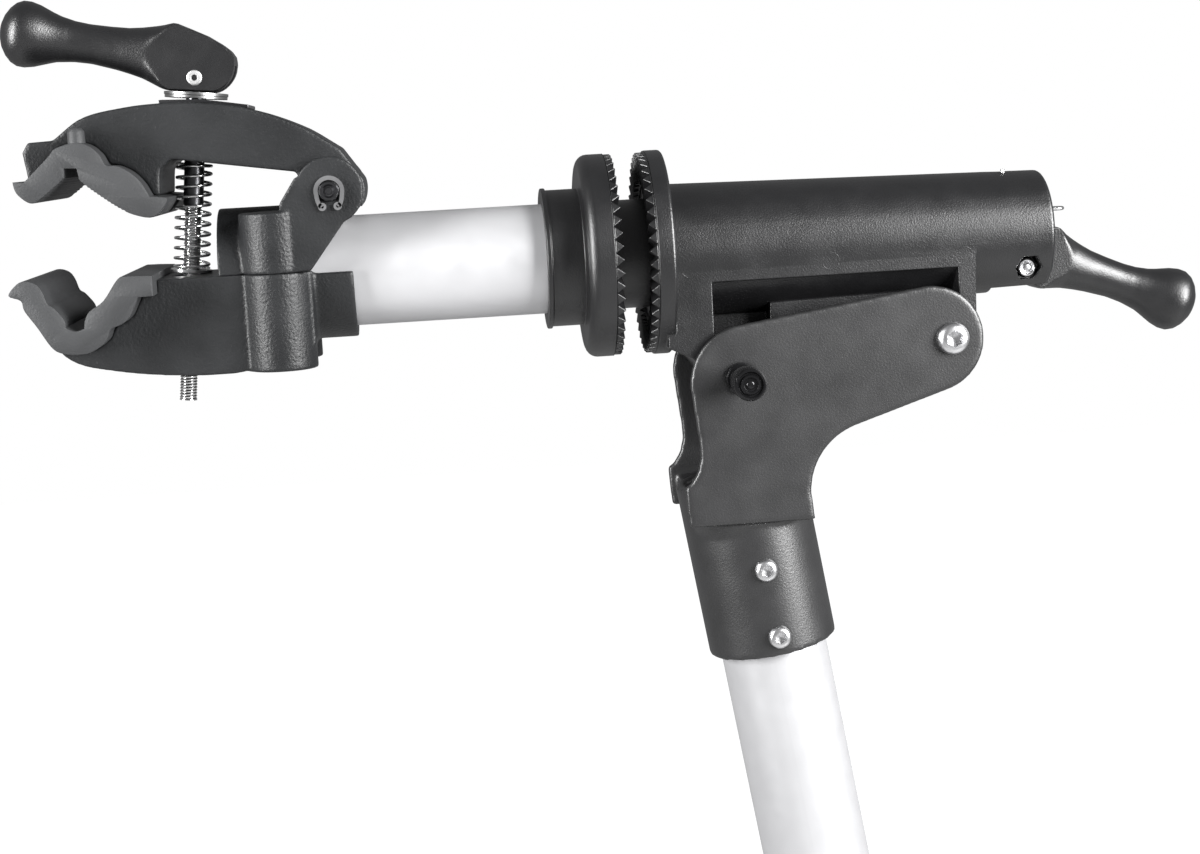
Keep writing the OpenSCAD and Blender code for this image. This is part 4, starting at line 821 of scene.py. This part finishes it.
# Lever pins: the clamp lever's is a rivet rolled over at both ends, the rear one a bolt with a
# turned end in its hexagonal pocket.
rivet_end = [(2.2, 8.3), (2.6, 8.5), (2.4, 8.8), (1.9, 8.95), (1.1, 8.8), (0.85, 8.35), (0.01, 8.3)]
rivet_profile = [(r, -z) for r, z in reversed(rivet_end)] + rivet_end
rivet = parts_mesh("lever_rivet", [(turned(rod_at @ to_near, rivet_profile), False)])
finished(rivet, "lever_pin", sharp=50)
rivet.data.materials[0] = surface("brushed_steel", (0.5, 0.5, 0.5), 0.5, metallic=0.9, bump=0.1,
                                  mottle=0.1)
bolt_profile = [
    (0.01, -15), (2.7, -15), (3.1, -14.6), (3.1, 14.3), (2.95, 14.8), (2.6, 15), (2.2, 14.8),
    (1.95, 14.3), (1.55, 14.2), (1.35, 14.6), (1.0, 14.8), (0.01, 14.8)]
rear_bolt = parts_mesh("rear_lever_bolt", [(turned(rear_pin_at @ to_near, bolt_profile), False)])
finished(rear_bolt, "rear_lever_pin", sharp=45)

# Rubber pads, moulded whole: each outline runs as an even curve through its points, apart from the
# notches' sharp corners. The upper pad's flanks are finely ribbed, and two pegs hold it.
finish("jaw_rubber", (0.026, 0.0268, 0.028), 0.58, grain=1300, bump=0.35, mottle=0.2, specular=0.4)
rib_pitch = 1.3
rib_depth = 0.22 * MM
relief_profile = [(0.01, -80), (8.4, -80), (8.4, 0), (0.01, 0)]


def curved(points, corners, steps=4):
    line, normals = [], []
    count = len(points)
    for i in range(count):
        p0, p1, p2, p3 = [points[(i + k) % count] for k in (-1, 0, 1, 2)]
        before = Vector((0, 0)) if i in corners else (p2 - p0) / 2
        after = Vector((0, 0)) if (i + 1) % count in corners else (p3 - p1) / 2
        for u in [k / steps for k in range(steps)]:
            line.append(through(p1, before, p2, after, u))
    for i in range(len(line)):
        along = (line[(i + 1) % len(line)] - line[i - 1]).normalized()
        normals.append(Vector((-along.y, along.x)))
    return line, normals


def stations_along(line, normals, spans):
    outline = []
    run = 0.0
    for i, p in enumerate(line):
        q, q_normal = line[(i + 1) % len(line)], normals[(i + 1) % len(line)]
        length = (q - p).length
        inside = any(x0 < p.x < x1 and z0 < p.y < z1 for x0, x1, z0, z1 in spans)
        steps = max(1, round(length / (rib_pitch / 4))) if inside else 1
        for u in [k / steps for k in range(steps)]:
            outline.append((p.lerp(q, u), normals[i].lerp(q_normal, u), run + length * u,
                            float(inside)))
        run += length
    return outline


ribs, given = tree_with("ribs across", ["Pitch", "Depth", "Material"])
run = step(ribs, "GeometryNodeInputNamedAttribute", "run", data_type="FLOAT")[0]
ribbed = step(ribs, "GeometryNodeInputNamedAttribute", "ribbed", data_type="FLOAT")[0]
inward = step(ribs, "GeometryNodeInputNamedAttribute", "inward", data_type="FLOAT_VECTOR")[0]
phase = sums(ribs, "MULTIPLY", sums(ribs, "DIVIDE", run, given["Pitch"]), 2 * math.pi)
wave = sums(ribs, "MULTIPLY_ADD", sums(ribs, "COSINE", phase), -0.5, 0.5)
sink = sums(ribs, "MULTIPLY", sums(ribs, "MULTIPLY", wave, ribbed), given["Depth"])
offset = ribs.nodes.new("ShaderNodeVectorMath")
offset.operation = "SCALE"
ribs.links.new(inward, offset.inputs[0])
ribs.links.new(sink, offset.inputs["Scale"])
pressed = ribs.nodes.new("GeometryNodeSetPosition")
ribs.links.new(given["Geometry"], pressed.inputs["Geometry"])
ribs.links.new(offset.outputs[0], pressed.inputs["Offset"])
close_tree(ribs, given, pressed.outputs[0])

# Places along the pad's width and the outline's inset there, which rounds the edges of both ends.
pad_edge = [(35.6, 0), (35.8, 0.02), (35.93, 0.09), (36, 0.2)]
pad_ends = [(-y, inset) for y, inset in reversed(pad_edge)] + pad_edge


def pad_piece(name, node_name, table, corners, ribbed_boxes=(), pegs=None):
    points = [Vector((x * 100, z * 100)) for x, z in table]
    if sum(p.x * q.y - q.x * p.y for p, q in zip(points, points[1:] + points[:1])) < 0:
        points.reverse()
        corners = {len(points) - 1 - i for i in corners}
    outline = stations_along(*curved(points, corners), ribbed_boxes)
    rings = [[to_metres @ clevis_at @ Vector((p.x + n.x * inset, y, p.y + n.y * inset))
              for p, n, _, _ in outline] for y, inset in pad_ends]
    piece = ring_mesh(name, rings)
    for label, kind, field, values in (
            ("run", "FLOAT", "value", [run for _, _, run, _ in outline]),
            ("ribbed", "FLOAT", "value", [inside for _, _, _, inside in outline]),
            ("inward", "FLOAT_VECTOR", "vector",
             [c for _, n, _, _ in outline for c in (n.x, 0, n.y)])):
        attribute = piece.data.attributes.new(label, kind, "POINT")
        attribute.data.foreach_set(field, values * len(pad_ends))
    grown(piece, ribs, {"Pitch": rib_pitch, "Depth": rib_depth,
                        "Material": materials["jaw_rubber"]})
    for label in ("run", "ribbed", "inward"):
        piece.data.attributes.remove(piece.data.attributes[label])
    if pegs:
        cut_away(piece, ring_mesh(name + "_relief", turned(rod_at, relief_profile)))
        joined(piece, [pegs])
    finished(piece, node_name, sharp=38)


# Outlines in tenths of a metre from the hinge pin, along the arm and up.
upper_table = [
    (-1.01, 0.086), (-0.974, 0.084), (-0.893, 0.159), (-0.865, 0.187), (-0.805, 0.202),
    (-0.762, 0.192), (-0.728, 0.161), (-0.709, 0.125), (-0.676, 0.121), (-0.634, 0.098),
    (-0.6, 0.061), (-0.578, 0.017), (-0.521, 0.01), (-0.529, -0.014), (-0.569, -0.051),
    (-0.627, -0.042), (-0.684, -0.012), (-0.767, 0.052), (-0.797, 0.08), (-0.803, 0.119),
    (-0.843, 0.121), (-0.846, 0.09), (-0.875, 0.065), (-0.934, 0.021), (-0.964, 0.017),
    (-0.994, 0.041), (-1.006, 0.062)]
peg_profile = [(0.01, 17), (2.9, 17), (2.8, 23.6), (2.0, 24.9), (1.6, 25.1), (0.01, 25.15)]
peg_places = [to_metres @ clevis_at @ Vector((-80.7, y, 0)) for y in (-28, 28)]
pegs = like_pieces("pad_pegs", peg_profile, peg_places, Matrix.Identity(4), materials["jaw_rubber"],
                   around=28)
upper_corners = {0, 1, 11, 12, 18, 19, 20, 21}
upper_ribbed = [(-93, -84, -1, 9.2), (-80.5, -66, -4, 8.2)]
pad_piece("upper_pad_ribbed", "upper_pad", upper_table, upper_corners, upper_ribbed, pegs)
lower_table = [
    (-1.056, -0.279), (-1.018, -0.298), (-1.009, -0.332), (-0.973, -0.388), (-0.934, -0.454),
    (-0.903, -0.477), (-0.855, -0.485), (-0.805, -0.479), (-0.757, -0.448), (-0.737, -0.408),
    (-0.703, -0.395), (-0.672, -0.37), (-0.642, -0.309), (-0.592, -0.308), (-0.591, -0.241),
    (-0.669, -0.238), (-0.703, -0.246), (-0.754, -0.314), (-0.801, -0.345), (-0.819, -0.377),
    (-0.822, -0.4), (-0.852, -0.408), (-0.882, -0.394), (-0.885, -0.367), (-0.915, -0.327),
    (-0.934, -0.312), (-0.947, -0.273), (-0.965, -0.247), (-0.997, -0.235), (-1.026, -0.243)]
pad_piece("lower_pad_ribbed", "lower_pad", lower_table, corners={12, 13, 14, 20, 22})
